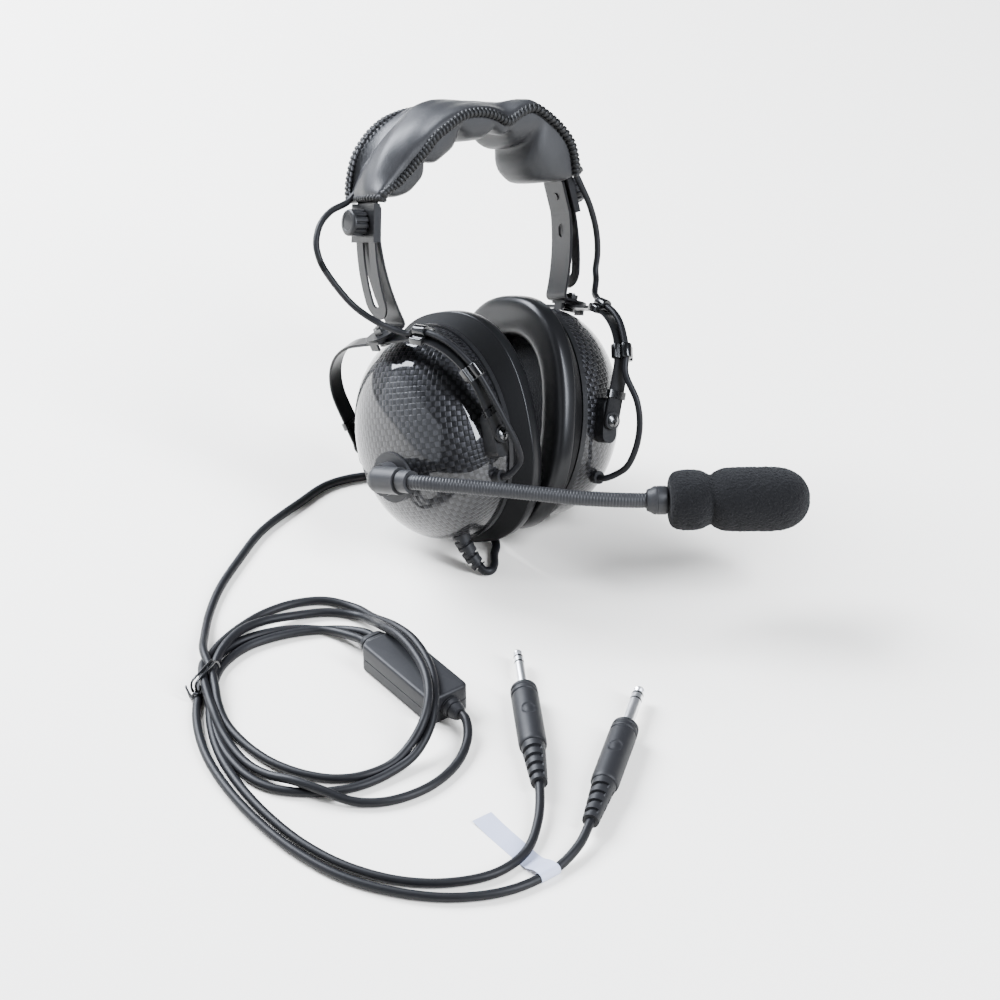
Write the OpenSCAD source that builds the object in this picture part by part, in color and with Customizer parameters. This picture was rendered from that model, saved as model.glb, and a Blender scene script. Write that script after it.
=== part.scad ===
// Two-cup communication headset with a flexible boom microphone and two plugs.
// Millimetres. Z is up from the table, the wearer faces -Y, the mic side is at -X.

/* [Headband] */
// Width of the slotted spring strap
strap_w = 19; // [16:0.5:24]
// Thickness of the slotted spring strap
strap_t = 1.2; // [0.8:0.1:2]
// Width of the adjustment slot
slot_w = 5.8; // [4:0.2:8]
// Width of the head pad at the crown
pad_w = 48; // [36:1:60]
// Width of the head pad at its two ends
pad_end_w = 31; // [26:1:40]
// Depth of the soft cushion under the band
pad_soft = 17; // [10:1:24]

/* [Sliders] */
// Thickness of the inner slider arm
arm_t = 1.5; // [1:0.1:2.5]
// Travel of the mic side arm from its top stop
mic_out = 0.5; // [0:0.5:6]
// Travel of the phone side arm from its top stop
phone_out = 0.5; // [0:0.5:6]
// Diameter of the adjuster knob
knob_d = 14; // [10:0.5:18]
// Length of the adjuster knob
knob_l = 9; // [6:0.5:14]

/* [Yokes] */
// Room between the side of the dome and the middle of the stirrup band
yoke_side = 7.5; // [5.5:0.5:15]
// Room between the top of the dome and the swivel foot
yoke_over = 7; // [6:0.5:16]
// Width of the stirrup band
yoke_w = 9.5; // [7:0.5:12]
// Thickness of the stirrup band
yoke_t = 1.5; // [1:0.1:2.5]
// Swivel of the mic cup about its bolt
mic_turn = 12; // [-14:1:14]
// Swivel of the phone cup about its bolt
phone_turn = 2; // [-14:1:14]
// Tilt of the mic cup on its pivots
mic_tip = 18.5; // [8:0.5:24]
// Tilt of the phone cup on its pivots
phone_tip = 10.5; // [8:0.5:24]

/* [Ear cups] */
// Width of the dome at its rim
dome_w = 93; // [84:1:100]
// Height of the dome at its rim
dome_h = 114; // [104:1:124]
// Depth of the dome
dome_d = 42; // [34:1:50]
// Wall of the dome
dome_wall = 1.8; // [1.2:0.1:3]
// Overhang of the ear seal past the dome
seal_lip = 5.5; // [3:0.5:8]
// Depth of the ear seal
seal_d = 18.5; // [16:1:28]

/* [Boom] */
// Diameter of the round plate that carries the boom
boom_plate_d = 27; // [22:1:32]
// Diameter of the flexible boom
neck_d = 8; // [6:0.5:10]
// Diameter of the foam windscreen
foam_d = 33; // [26:1:40]

/* [Plugs] */
// Shaft diameter of the headphone plug
phones_pin_d = 6.35; // [6.35:0.05:6.35]
// Shaft diameter of the microphone plug
mic_pin_d = 5.23; // [5.23:0.01:5.25]
// Diameter of the plug handles
plug_d = 14; // [12:0.5:17]

/* [Cord] */
// Diameter of the main cord
cord_d = 4.6; // [4:0.2:6]
// Diameter of the lead that crosses over the headband
cross_d = 3.5; // [3:0.1:4.5]

/* [Hidden] */
$fn = 48;

// How the whole headset leans on the table.
lean_back = 24;
lean_side = 10;
stand_z = 54.62;
place_x = -4.4;
place_y = 37.9;
gap = 0.3;

// Band arcs, right half, in the plane y = 0: the strap arc, the shoulder and the crown.
knob_x = 63;
knob_z = 117.5;
knob_a = 8.8;
strap_r = 116;
strap_x = knob_x - strap_r * cos(knob_a);
strap_z = knob_z - strap_r * sin(knob_a);
strap_low = -15.2;
strap_top = 14;
shoulder_r = 56;
shoulder_top = 60;
shoulder_x = strap_x + (strap_r - shoulder_r) * cos(strap_top);
shoulder_z = strap_z + (strap_r - shoulder_r) * sin(strap_top);
crown_r = (shoulder_x + shoulder_r * cos(shoulder_top)) / cos(shoulder_top);
crown_z = shoulder_z + shoulder_r * sin(shoulder_top) - crown_r * sin(shoulder_top);

// Slider arm: a flat clamped part, then an arc down to the swivel foot. The room
// behind the strap lets the arm slide straight under the curved strap.
arm_room = 1.7;
arm_flat = 9;
top_stop = -3;
slide_x = sin(knob_a);
slide_z = -cos(knob_a);
arm_off = strap_t / 2 + arm_room + arm_t / 2;
arm_r = 122;
arm_a = -1;
foot_a = 20;
arm_x = knob_x - arm_off * cos(knob_a) + slide_x * arm_flat - arm_r * cos(arm_a);
arm_z = knob_z - arm_off * sin(knob_a) + slide_z * arm_flat - arm_r * sin(arm_a);
foot_drop = 5.6;
foot_t = 1.5;
bolt_out = 10;
bolt_d = 4;

// Heights below the foot, in the bolt's own frame.
limiter_t = 1.4;
yoke_top = foot_t + limiter_t + gap + yoke_t / 2;
yoke_half = dome_w / 2 + yoke_side;
yoke_drop = dome_h / 2 + yoke_over;
corner_r = 34;
corner_y = yoke_half - corner_r;

// Cup frame: x points outward, the origin is where dome and baffle meet.
pivot_in = 11;
pivot_low = 2;
baffle_t = 3;
block_w = 9;
block_h = 24;
block_in = dome_w / 2 - 3.5;
screw_d = 3.8;
dome_n = 48;
dome_k = 9;

// Boom, in the mic cup's frame.
boom_y = 0;
boom_z = -16;
boom_x = 50.5;
plate_x = 31;
plate_h = 11.8;
neck_dip = 6;
neck_path = [[50.5, -22.95, -17.95], [50.4, -26, -18.3], [49, -30.5, -19.1],
  [46.2, -35.5, -20.5], [42, -41, -22.2], [37, -46.8, -24.1], [31.5, -52.5, -26.2], [25.5, -59.5, -28.7],
  [19.5, -66.8, -31.3], [13.2, -74.5, -34], [6.8, -82, -36.8], [0, -89.6, -39.6],
  [-7, -96.8, -42], [-14.5, -103.6, -44.3], [-22.3, -109.6, -46.4], [-26.48, -113.4, -47.35]];
head_tip = 99.7;
head_turn = -137.8;

// Crossover lead. The low parts stay with the stirrups, the middle parts with the arms
// and the high parts with the headband, and each starts where the one below it ends.
mic_exit = [8, 0.3 - dome_w / 2, 0.4 - 25 * dome_h / 114];
phone_exit = [14.9, 6 - dome_w / 2, 0.9 - 34 * dome_h / 114];

function yoke_pt(p, tip) =
  let (x = p[0] - pivot_in, z = p[2] + pivot_low)
  [x * cos(tip) - z * sin(tip), p[1], x * sin(tip) + z * cos(tip) - yoke_drop];

function arm_pt(p, turn) =
  let (x = p[0] * cos(turn) - p[1] * sin(turn) + arm_r + bolt_out,
    y = p[0] * sin(turn) + p[1] * cos(turn), z = p[2] - foot_drop)
  [arm_x + x * cos(foot_a) + z * sin(foot_a), y,
    arm_z - x * sin(foot_a) + z * cos(foot_a)];

function beyond(p, g) =
  let (n = len(p), d = p[n - 1] - p[n - 2])
  p[n - 1] + g * d / norm(d);

function slid(p, out) = p + (out + top_stop) * [slide_x, 0, slide_z];

yoke_run = [[0, -yoke_half - 4.6, -38], [0, -yoke_half - 1.9, -26.3],
  [0, 7.3 - yoke_half, -11.3], [0, 15.1 - yoke_half, -5.3], [0, 24.9 - yoke_half, -1.4],
  [0, 29 - yoke_half, -0.4]];
mic_low = concat([yoke_pt(mic_exit - [0, gap, 0], mic_tip),
  yoke_pt(mic_exit - [0, 4, 0], mic_tip), [-1, -yoke_half - 3.5, -yoke_drop - 17],
  [-0.7, -yoke_half - 6.6, -yoke_drop - 8], [0, -yoke_half - 6.6, 8 - yoke_drop]], yoke_run);
mic_mid = concat([arm_pt(beyond(mic_low, gap), -mic_turn),
  arm_pt(beyond(mic_low, 3), -mic_turn)], [[61.5, -15.5, 64], [67, -5.6, 69.3],
  [74, 2.4, 77.9], [81.5, 5.1, 89], [88.6, 5.8, 101.6]]);
mic_high = concat([slid(beyond(mic_mid, gap), mic_out), slid(beyond(mic_mid, 4), mic_out)],
  [[89.5, 7.5, 113.5], [84.5, 10, 122], [75.5, 12.5, 128], [64.2, 13.3, 131.5]]);
phone_low = concat([yoke_pt(phone_exit - [0, gap, 0], phone_tip),
  yoke_pt(phone_exit - [0, 5, 0], phone_tip), [12.4, 4 - yoke_half, -yoke_drop - 27],
  [13.5, -yoke_half - 3, -yoke_drop - 22], [12.5, -yoke_half - 9, -yoke_drop - 11],
  [10, -yoke_half - 11.5, 1 - yoke_drop], [6, -yoke_half - 11, 12 - yoke_drop]], yoke_run);
phone_mid = concat([arm_pt(beyond(phone_low, gap), phone_turn),
  arm_pt(beyond(phone_low, 3), phone_turn)], [[66, -18.5, 62.5], [69.2, -12.1, 65.5],
  [73.9, -8.1, 72.3]]);
phone_high = concat([slid(beyond(phone_mid, gap), phone_out),
  slid(beyond(phone_mid, 4), phone_out)], [[77, -7.6, 86], [76.8, -9, 98],
  [73, -11, 112], [68, -12.8, 122], [63.2, -13.3, 131.5]]);

// The cord on the table, seen from above. Points further in are hidden by the cups.
main_path = [[-38.4, -39.8, 4.6], [-37.2, -42.6, 2.9], [-34, -43.6, 2.5],
  [-29.5, -40.5, 2.5], [-24, -33.5, 2.5], [-18, -27.5, 2.5], [-13.4, -19, 2.5],
  [-12, -7, 2.5], [-12, 8, 2.5], [-12, 24, 2.5], [-13, 42, 2.5], [-19, 59, 2.5],
  [-33, 71, 2.5], [-54, 77, 2.5], [-77, 72, 2.5], [-109, 62, 2.5], [-134, 47, 2.5],
  [-157, 31, 2.5], [-174, 15, 2.5], [-188, -1, 2.5], [-199, -20, 2.5]];
coil_path = [[-208, -36, 4.9], [-216, -58, 4.9], [-220, -82, 4.9], [-219, -104, 4.9],
  [-213, -122, 4.9], [-202, -137, 4.9], [-187, -146, 4.9], [-168, -147, 6],
  [-147, -140, 14], [-136, -131, 20.8], [-125, -118, 21.2], [-113, -98, 20.8],
  [-106, -81, 14], [-102, -66, 7.5], [-102, -50, 5], [-107, -33, 4.9], [-119, -19, 4.9], [-138, -9, 4.9],
  [-159, -4, 4.9], [-180, -8, 4.9], [-196, -20, 4.9]];
end_path = [[-222, -90, 2.5], [-225, -112, 2.5], [-219, -130, 2.5], [-207, -149, 2.5],
  [-188, -164, 2.5], [-164, -168, 2.5], [-142, -160, 3], [-130, -150, 5],
  [-124.5, -140, 8]];
phones_path = [[-128, -58, 8], [-128.5, -50, 6], [-134, -33, 2.5], [-152, -19, 2.5],
  [-175, -14, 2.5], [-197, -21, 2.5], [-213, -36, 2.5], [-227, -55, 2.5],
  [-238, -80, 2.5], [-244, -108, 2.5], [-246, -138, 2.5], [-244, -167, 2.5],
  [-237, -194, 2.5], [-224, -217, 2.5], [-206, -236, 2.5], [-183, -248, 2.5],
  [-158, -250, 2.5], [-140, -245, 4.5], [-126, -238, 7.1]];
mic_path = [[-122, -58, 8], [-122.5, -50, 6], [-128, -37, 2.5], [-148, -25, 2.5],
  [-173, -20, 2.5], [-193, -26, 2.5], [-208, -40, 2.5], [-221, -58, 2.5],
  [-232, -82, 2.5], [-238, -109, 2.5], [-240, -138, 2.5], [-238, -165, 2.5],
  [-231, -190, 2.5], [-218, -212, 2.5], [-201, -227, 2.5], [-180, -235, 2.5],
  [-160, -232, 2.5], [-143, -219, 4.5], [-127.4, -201.5, 7.1]];
box_x = -125;
box_y = -98;
box_w = 24;
box_l = 60;
box_h = 16;
plug_z = 7.1;
pin_l = 31;
body_l = 46;
relief_l = 28;
tie_x = -206;
tie_y = -32;

module hold() {
  translate([place_x, place_y, stand_z])
    rotate([-lean_back, 0, 0])
      rotate([0, lean_side, 0])
        children();
}

module mic_side() {
  hold() mirror([1, 0, 0]) children();
}

module slide_to(out) {
  translate([slide_x * (out + top_stop), 0, slide_z * (out + top_stop)])
    children();
}

module foot_frame() {
  translate([arm_x, 0, arm_z])
    rotate([0, foot_a, 0])
      children();
}

module bolt_frame(out, turn) {
  slide_to(out)
    foot_frame()
      translate([arm_r + bolt_out, 0, -foot_drop])
        rotate([0, 0, turn])
          children();
}

module cup_frame(out, turn, tip) {
  bolt_frame(out, turn)
    translate([0, 0, -yoke_drop])
      rotate([0, -tip, 0])
        translate([-pivot_in, 0, pivot_low])
          children();
}

module mic_arm() {
  mic_side() slide_to(mic_out) children();
}

module phone_arm() {
  hold() slide_to(phone_out) children();
}

module mic_bolt() {
  mic_side() bolt_frame(mic_out, -mic_turn) children();
}

module phone_bolt() {
  hold() bolt_frame(phone_out, phone_turn) children();
}

module mic_cup() {
  mic_side() cup_frame(mic_out, -mic_turn, mic_tip) children();
}

module phone_cup() {
  hold() cup_frame(phone_out, phone_turn, phone_tip) children();
}

module neck_cup() {
  mic_cup() children();
}

module table() {
  translate([place_x, place_y, 0]) children();
}

// The frame of a point of an arc: x points outward, z up along the arc.
module on_arc(cx, cz, r, a) {
  translate([cx, 0, cz])
    rotate([0, -a, 0])
      translate([r, 0, 0])
        children();
}

// The clamp's frame: x points outward, z up along the strap at the knob.
module clamp_frame() {
  translate([knob_x, 0, knob_z])
    rotate([0, -knob_a, 0])
      children();
}

module along_x() {
  rotate([0, 90, 0]) children();
}

module along_y() {
  rotate([90, 0, 0]) children();
}

function unit(v) = v / norm(v);

function tangent(p, i, loop) =
  let (n = len(p))
  loop ? unit(p[(i + 1) % n] - p[(i + n - 1) % n])
    : unit(p[min(i + 1, n - 1)] - p[max(i - 1, 0)]);

function ring_points(p, i, rw, rh, n, up, loop) =
  let (t = tangent(p, i, loop), s = unit(cross(t, up)), u = cross(s, t))
  [for (k = [0:n - 1]) p[i] + rw * cos(k * 360 / n) * s - rh * sin(k * 360 / n) * u];

function tube_points(p, rw, rh, n, up, loop) =
  [for (i = [0:len(p) - 1]) each ring_points(p, i, rw, rh, n, up, loop)];

function tube_sides(m, n, loop) =
  [for (i = [0:m - (loop ? 1 : 2)], k = [0:n - 1])
    [i * n + k, ((i + 1) % m) * n + k, ((i + 1) % m) * n + (k + 1) % n,
      i * n + (k + 1) % n]];

function tube_caps(m, n) =
  [[for (k = [0:n - 1]) k], [for (k = [n - 1:-1:0]) (m - 1) * n + k]];

// A tube through the points p, of half width rw and half height rh.
module tube(p, rw, rh, n, up) {
  polyhedron(points = tube_points(p, rw, rh, n, up, false),
    faces = concat(tube_sides(len(p), n, false), tube_caps(len(p), n)), convexity = 8);
}

module ring_tube(p, rw, rh, n, up) {
  polyhedron(points = tube_points(p, rw, rh, n, up, true),
    faces = tube_sides(len(p), n, true), convexity = 8);
}

// The dome's surface: depth d outward, half axes w and h at the rim.
function dome_ring(w, h, d, ph) =
  [for (k = [0:dome_n - 1])
    let (g = pow(cos(ph), 0.83), a = k * 360 / dome_n)
    [d * pow(sin(ph), 0.83), w * g * cos(a), h * g * sin(a)]];

function dome_shell_points(w, h, d) =
  concat([for (j = [0:dome_k - 1]) each dome_ring(w, h, d, j * 90 / dome_k)],
    [[d, 0, 0]]);

function dome_faces(o, flip) =
  let (n = dome_n, top = o + dome_k * n)
  concat(
    [for (j = [0:dome_k - 2], k = [0:n - 1])
      let (f = [o + j * n + k, o + j * n + (k + 1) % n,
        o + (j + 1) * n + (k + 1) % n, o + (j + 1) * n + k])
      flip ? [f[3], f[2], f[1], f[0]] : f],
    [for (k = [0:n - 1])
      let (f = [o + (dome_k - 1) * n + k, o + (dome_k - 1) * n + (k + 1) % n, top])
      flip ? [f[2], f[1], f[0]] : f]);

module dome() {
  n = dome_n;
  m = dome_k * n + 1;
  w = dome_w / 2;
  h = dome_h / 2;
  polyhedron(
    points = concat(dome_shell_points(w, h, dome_d),
      dome_shell_points(w - dome_wall, h - dome_wall, dome_d - dome_wall)),
    faces = concat(dome_faces(0, true), dome_faces(m, false),
      [for (k = [0:n - 1]) [k, (k + 1) % n, m + (k + 1) % n, m + k]]),
    convexity = 6);
}

module oval(w, h, t) {
  along_x()
    linear_extrude(t)
      polygon([for (k = [0:63]) [h * cos(k * 5.625), w * sin(k * 5.625)]]);
}

module baffle() {
  w = dome_w / 2;
  h = dome_h / 2;
  difference() {
    union() {
      translate([-baffle_t, 0, 0])
        oval(w + 1.2, h + 1.2, baffle_t);
      translate([-gap, 0, 0])
        oval(w - dome_wall - gap, h - dome_wall - gap, 3);
    }
    translate([-baffle_t - 1, 0, 4])
      along_x() cylinder(d = 41, h = baffle_t + 6);
    translate([0, 0, 0])
      oval(w - 6, h - 6, 4);
    for (y = [-30, 30], z = [-24, 30])
      translate([-baffle_t - 1, y, z])
        along_x() cylinder(d = 3.4, h = 8);
  }
}

// The ear seal's section, from its back face to its front, about the ring's centre.
seal_w = 9.5;
seal_sec = [[-8.2, 0], [-9.2, -3], [-9.5, -8], [-9.1, -14], [-7.4, -19], [-4, -21.6],
  [1, -22], [5.5, -21], [8.6, -17.5], [9.5, -12], [9.5, -6], [8.8, -1.6], [7.6, 0]];

function seal_point(q, a, w, h) =
  [-baffle_t + q[1] * seal_d / 22, (w + q[0]) * cos(a), (h + q[0]) * sin(a)];

module ear_seal() {
  w = dome_w / 2 + seal_lip - seal_w;
  h = dome_h / 2 + seal_lip - seal_w;
  m = 48;
  n = len(seal_sec);
  polyhedron(
    points = [for (i = [0:m - 1]) each
      [for (q = seal_sec) seal_point(q, i * 360 / m, w, h)]],
    faces = [for (i = [0:m - 1], k = [0:n - 1])
      [i * n + k, i * n + (k + 1) % n, ((i + 1) % m) * n + (k + 1) % n,
        ((i + 1) % m) * n + k]],
    convexity = 6);
}

module speaker() {
  translate([-baffle_t + 0.5, 0, 4])
    along_x() {
      difference() {
        union() {
          cylinder(d = 40.4, h = 5);
          translate([0, 0, 5]) cylinder(d = 34, h = 5);
          translate([0, 0, 10]) cylinder(d = 20, h = 4);
        }
        translate([0, 0, -1]) cylinder(d = 34, h = 2.2);
      }
      translate([0, 0, 1.2]) cylinder(d = 22, h = 0.8);
    }
}

module ear_foam() {
  w = dome_w / 2 + seal_lip - 2 * seal_w - 2.5;
  h = dome_h / 2 + seal_lip - 2 * seal_w - 2.5;
  translate([-baffle_t - 6, 0, 0])
    oval(w, h, 6);
}

// The two pivot blocks stand on the dome, in line with the pivots.
module pivot_blocks() {
  bw = block_w / 2;
  for (s = [-1, 1])
    translate([pivot_in, 0, -pivot_low])
      mirror([0, s < 0 ? 1 : 0, 0])
        difference() {
          translate([0, yoke_half - yoke_t / 2 - gap, 0])
            along_y()
              linear_extrude(yoke_half - yoke_t / 2 - gap - block_in) {
                translate([0, block_h / 2 - bw]) circle(bw);
                translate([0, bw - block_h / 2]) circle(bw);
                square([block_w, block_h - block_w], center = true);
              }
          translate([0, yoke_half + 2, 0])
            along_y() cylinder(d = screw_d + 0.1, h = 12);
        }
}

module pivot_screws() {
  for (s = [-1, 1])
    translate([pivot_in, 0, -pivot_low])
      mirror([0, s < 0 ? 1 : 0, 0])
        difference() {
          union() {
            translate([0, yoke_half + yoke_t / 2 + gap + 1.6, 0])
              along_y() cylinder(d = 7.4, h = 1.6);
            translate([0, yoke_half + yoke_t / 2 + gap + 1, 0])
              along_y() cylinder(d = screw_d, h = 11);
          }
          for (r = [0, 90])
            translate([0, yoke_half + yoke_t / 2 + gap + 1.6, 0])
              rotate([0, r, 0])
                cube([3.6, 1.6, 0.9], center = true);
        }
}

// A grommet at the dome's wall with its hole along y.
module lead_gland(p) {
  translate(p)
    along_y() difference() {
      union() {
        translate([0, 0, -3]) cylinder(d = 7, h = 3);
        translate([0, 0, -12]) cylinder(d = 6, h = 9.5);
      }
      translate([0, 0, -14]) cylinder(d = cross_d, h = 15);
    }
}

// The spring-steel stirrup, in the bolt's frame.
module stirrup() {
  difference() {
    union() {
      translate([0, 0, -yoke_top])
        cube([yoke_w, 2 * corner_y, yoke_t], center = true);
      for (s = [-1, 1])
        mirror([0, s < 0 ? 1 : 0, 0]) {
          translate([0, corner_y, -yoke_top - corner_r])
            rotate([90, 0, 90])
              rotate_extrude(angle = 90, $fn = 96)
                translate([corner_r, 0])
                  square([yoke_t, yoke_w], center = true);
          translate([-yoke_w / 2, yoke_half - yoke_t / 2, -yoke_drop])
            cube([yoke_w, yoke_t, yoke_drop - yoke_top - corner_r]);
          translate([0, yoke_half + yoke_t / 2, -yoke_drop])
            along_y() cylinder(d = yoke_w, h = yoke_t);
        }
    }
    translate([0, 0, -yoke_top - 3])
      cylinder(d = bolt_d + 0.2, h = 6);
    for (s = [-1, 1])
      translate([0, s * yoke_half + 3, -yoke_drop])
        along_y() cylinder(d = screw_d + 0.2, h = 6);
  }
}

// A place on the stirrup's corner: z points outward, y along the band.
module on_corner(s, a) {
  mirror([0, s < 0 ? 1 : 0, 0])
    translate([0, corner_y, -yoke_top - corner_r])
      rotate([-a, 0, 0])
        translate([0, 0, corner_r])
          children();
}

module cable_clip() {
  difference() {
    union() {
      cube([yoke_w + 2.4, 7, yoke_t + 2.4], center = true);
      translate([0, 3.5, 3.7])
        along_y() cylinder(d = cross_d + 2.6, h = 7);
    }
    cube([yoke_w, 8, yoke_t], center = true);
    translate([0, 5, 3.7])
      along_y() cylinder(d = cross_d + 0.1, h = 10);
  }
}

module small_clip() {
  difference() {
    cube([yoke_w + 2, 4, yoke_t + 2], center = true);
    cube([yoke_w, 5, yoke_t], center = true);
  }
}

module cable_clips() {
  on_corner(-1, 14) cable_clip();
  on_corner(-1, 72) cable_clip();
  for (s = [-1, 1])
    translate([0, s * yoke_half, -yoke_drop + 14])
      rotate([90, 0, 0])
        small_clip();
}

// The inner slider arm with its lanced guide tab and its foot.
// Points of the arm's side view, from the clamp's frame and from the foot's.
function by_clamp(x, z) = [knob_x + x * cos(knob_a) - z * sin(knob_a),
  knob_z + x * sin(knob_a) + z * cos(knob_a)];
function by_foot(x, z) = [arm_x + x * cos(foot_a) + z * sin(foot_a),
  arm_z - x * sin(foot_a) + z * cos(foot_a)];
function by_arc(o) = [for (i = [0:14]) let (a = arm_a - i * (arm_a + foot_a) / 14)
  [arm_x + (arm_r + o) * cos(a), arm_z + (arm_r + o) * sin(a)]];

module slider_arm() {
  w = strap_w - 1;
  h = arm_t / 2;
  tip = arm_r + bolt_out + w / 2;
  sole = -foot_drop - foot_t;
  inner = by_arc(-h);
  difference() {
    union() {
      rotate([90, 0, 0])
        translate([0, 0, -w / 2])
          linear_extrude(w)
            polygon(concat([by_clamp(h - arm_off, arm_flat)], by_arc(h),
              [by_foot(arm_r + h, -foot_drop), by_foot(tip, -foot_drop),
                by_foot(tip, sole), by_foot(arm_r - h, sole)],
              [for (i = [len(inner) - 1:-1:0]) inner[i]],
              [by_clamp(-h - arm_off, arm_flat)]));
      clamp_frame() {
        translate([-arm_off, 0, -1])
          along_x() cylinder(d = 9, h = h + arm_room - 1);
        translate([-arm_off, 0, -20])
          cube([2 * arm_off + 1.6, slot_w - 1.4, 6], center = true);
      }
    }
    clamp_frame()
      translate([-arm_off - 5, 0, 0])
        along_x() cylinder(d = 4.1, h = 12);
    foot_frame()
      translate([arm_r + bolt_out, 0, -foot_drop - 4])
        cylinder(d = bolt_d, h = 8);
    foot_frame()
      difference() {
        translate([arm_r + bolt_out + 2, -w, -foot_drop - 4])
          cube([w, 2 * w, 8]);
        translate([arm_r + bolt_out + 0.2, 0, -foot_drop - 6])
          cylinder(d = w + 0.6, h = 12);
      }
  }
}

// Stops the stirrup with two bent lugs.
module limiter() {
  difference() {
    union() {
      translate([-yoke_w / 2 - 3, -6, -foot_t - limiter_t])
        cube([yoke_w + 6, 12, limiter_t]);
      for (s = [-1, 1])
        translate([s * (yoke_w / 2 + 2.3), 0, -foot_t - 2.6])
          cube([1.4, 7, 5.2], center = true);
    }
    translate([0, 0, -foot_t - 4])
      cylinder(d = bolt_d + 0.2, h = 8);
    translate([0, 0, 1 - foot_t])
      cube([30, 30, 2], center = true);
  }
}

module swivel_bolt() {
  low = -yoke_top - yoke_t / 2 - gap;
  difference() {
    translate([0, 0, 0.05])
      cylinder(d = 8, h = 3.2, $fn = 6);
    translate([0, 0, -1])
      cylinder(d = bolt_d, h = 6);
  }
  translate([0, 0, low - 1.5])
    cylinder(d = 7.2, h = 1.5);
  translate([0, 0, low - 1])
    cylinder(d = bolt_d, h = 5.2 - low);
}

module clamp_plate() {
  h = 20;
  w = strap_w + 3;
  x0 = strap_t / 2 + gap;
  clamp_frame()
    difference() {
      translate([-1.4, -w / 2, -h / 2])
        cube([x0 + 1.4 + 1.4, w, h]);
      translate([-3, -strap_w / 2 - gap, -h])
        cube([3 + x0, strap_w + 2 * gap, 2 * h]);
      translate([-2, 0, 0])
        along_x() cylinder(d = 5.2, h = 8);
    }
}

// The knob carries its own stud, which goes through the slot into the arm.
module knob() {
  x0 = strap_t / 2 + gap + 1.4 + 0.2;
  clamp_frame()
    along_x() {
      translate([0, 0, x0]) {
        difference() {
          cylinder(d = knob_d, h = knob_l);
          for (k = [0:15])
            rotate([0, 0, k * 22.5])
              translate([knob_d / 2 + 0.5, 0, 1.2])
                cylinder(d = 1.9, h = knob_l, $fn = 24);
          translate([0, 0, knob_l - 0.8])
            cylinder(d = knob_d - 5, h = 2);
        }
      }
      translate([0, 0, -arm_off - 1.5])
        cylinder(d = 4, h = arm_off + 1.5 + x0 + 1);
    }
}

// The band's middle line: a is the angle of its outward normal, o the way out of it.
function band_at(a, o) =
  a > 90 ? let (p = band_at(180 - a, o)) [-p[0], p[1]]
    : a < strap_top
      ? [strap_x + (strap_r + o) * cos(a), strap_z + (strap_r + o) * sin(a)]
    : a < shoulder_top
      ? [shoulder_x + (shoulder_r + o) * cos(a), shoulder_z + (shoulder_r + o) * sin(a)]
    : [(crown_r + o) * cos(a), crown_z + (crown_r + o) * sin(a)];

// A strip of the band through the angles l, between the offsets o0 and o1.
module band_strip(l, o0, o1, w) {
  rotate([90, 0, 0])
    translate([0, 0, -w / 2])
      linear_extrude(w)
        polygon(concat([for (a = l) band_at(a, o1)],
          [for (i = [len(l) - 1:-1:0]) band_at(l[i], o0)]));
}

// The strap alone, without its slots.
module strap_blank() {
  side = concat([for (i = [0:7]) strap_low + i * (strap_top - strap_low) / 8],
    [for (a = pad_angles) if (a < 90) a]);
  band_strip(concat([for (a = side) a],
      [for (i = [len(side) - 1:-1:0]) 180 - side[i]]),
    -strap_t / 2, strap_t / 2, strap_w);
}

module headband_spring() {
  end = strap_low + strap_w / 2 / strap_r * 57.3;
  foot = strap_low + 3.2;
  head = knob_a + 3.4;
  difference() {
    strap_blank();
    for (m = [0, 1])
      mirror([m, 0, 0]) {
        on_arc(strap_x, strap_z, strap_r, end)
          difference() {
            translate([-5, -strap_w, -strap_w])
              cube([10, 2 * strap_w, strap_w - 2]);
            translate([-6, 0, 0.2])
              along_x() cylinder(d = strap_w + 0.6, h = 12);
          }
        band_strip([for (i = [0:6]) foot + i * (head - foot) / 6], -3, 3, slot_w);
        for (a = [foot, head])
          on_arc(strap_x, strap_z, strap_r, a)
            translate([-4, 0, 0])
              along_x() cylinder(d = slot_w + 0.3, h = 8);
      }
  }
}

// The leather cover: a broad sleeve over the crown that narrows to its ends.
pad_low = 17.6;
pad_n = 36;
pad_angles = [for (i = [0:pad_n]) pad_low + i * (180 - 2 * pad_low) / pad_n];
cover_sec = [[-4, -0.95], [-2.4, -1], [-0.6, -1], [1.6, -0.9], [3.8, -0.55], [4.6, 0],
  [3.8, 0.55], [1.6, 0.9], [-0.6, 1], [-2.4, 1], [-4, 0.95]];

function ease(t) = let (c = min(1, max(0, t))) c * c * (3 - 2 * c);

function pad_half(a) =
  (pad_end_w + (pad_w - pad_end_w) * ease((min(a, 180 - a) - 20) / 36)) / 2;

module band_loft(sec) {
  n = len(sec[0]);
  polyhedron(
    points = [for (i = [0:pad_n]) each
      [for (q = sec[i])
        let (p = band_at(pad_angles[i], q[0])) [p[0], q[1] * pad_half(pad_angles[i]), p[1]]]],
    faces = concat(tube_sides(pad_n + 1, n, false), tube_caps(pad_n + 1, n)),
    convexity = 8);
}

module head_pad_cover() {
  difference() {
    band_loft([for (i = [0:pad_n]) cover_sec]);
    strap_blank();
  }
}

// Six soft lobes under the cover, thinner towards the ends.
function lobe(i) =
  let (e = min(i, pad_n - i), f = 0.45 + 0.55 * ease(e / 9))
  -4 - (pad_soft - 4) * f * (0.66 + 0.34 * sqrt(abs(sin(i * 30))));

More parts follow.
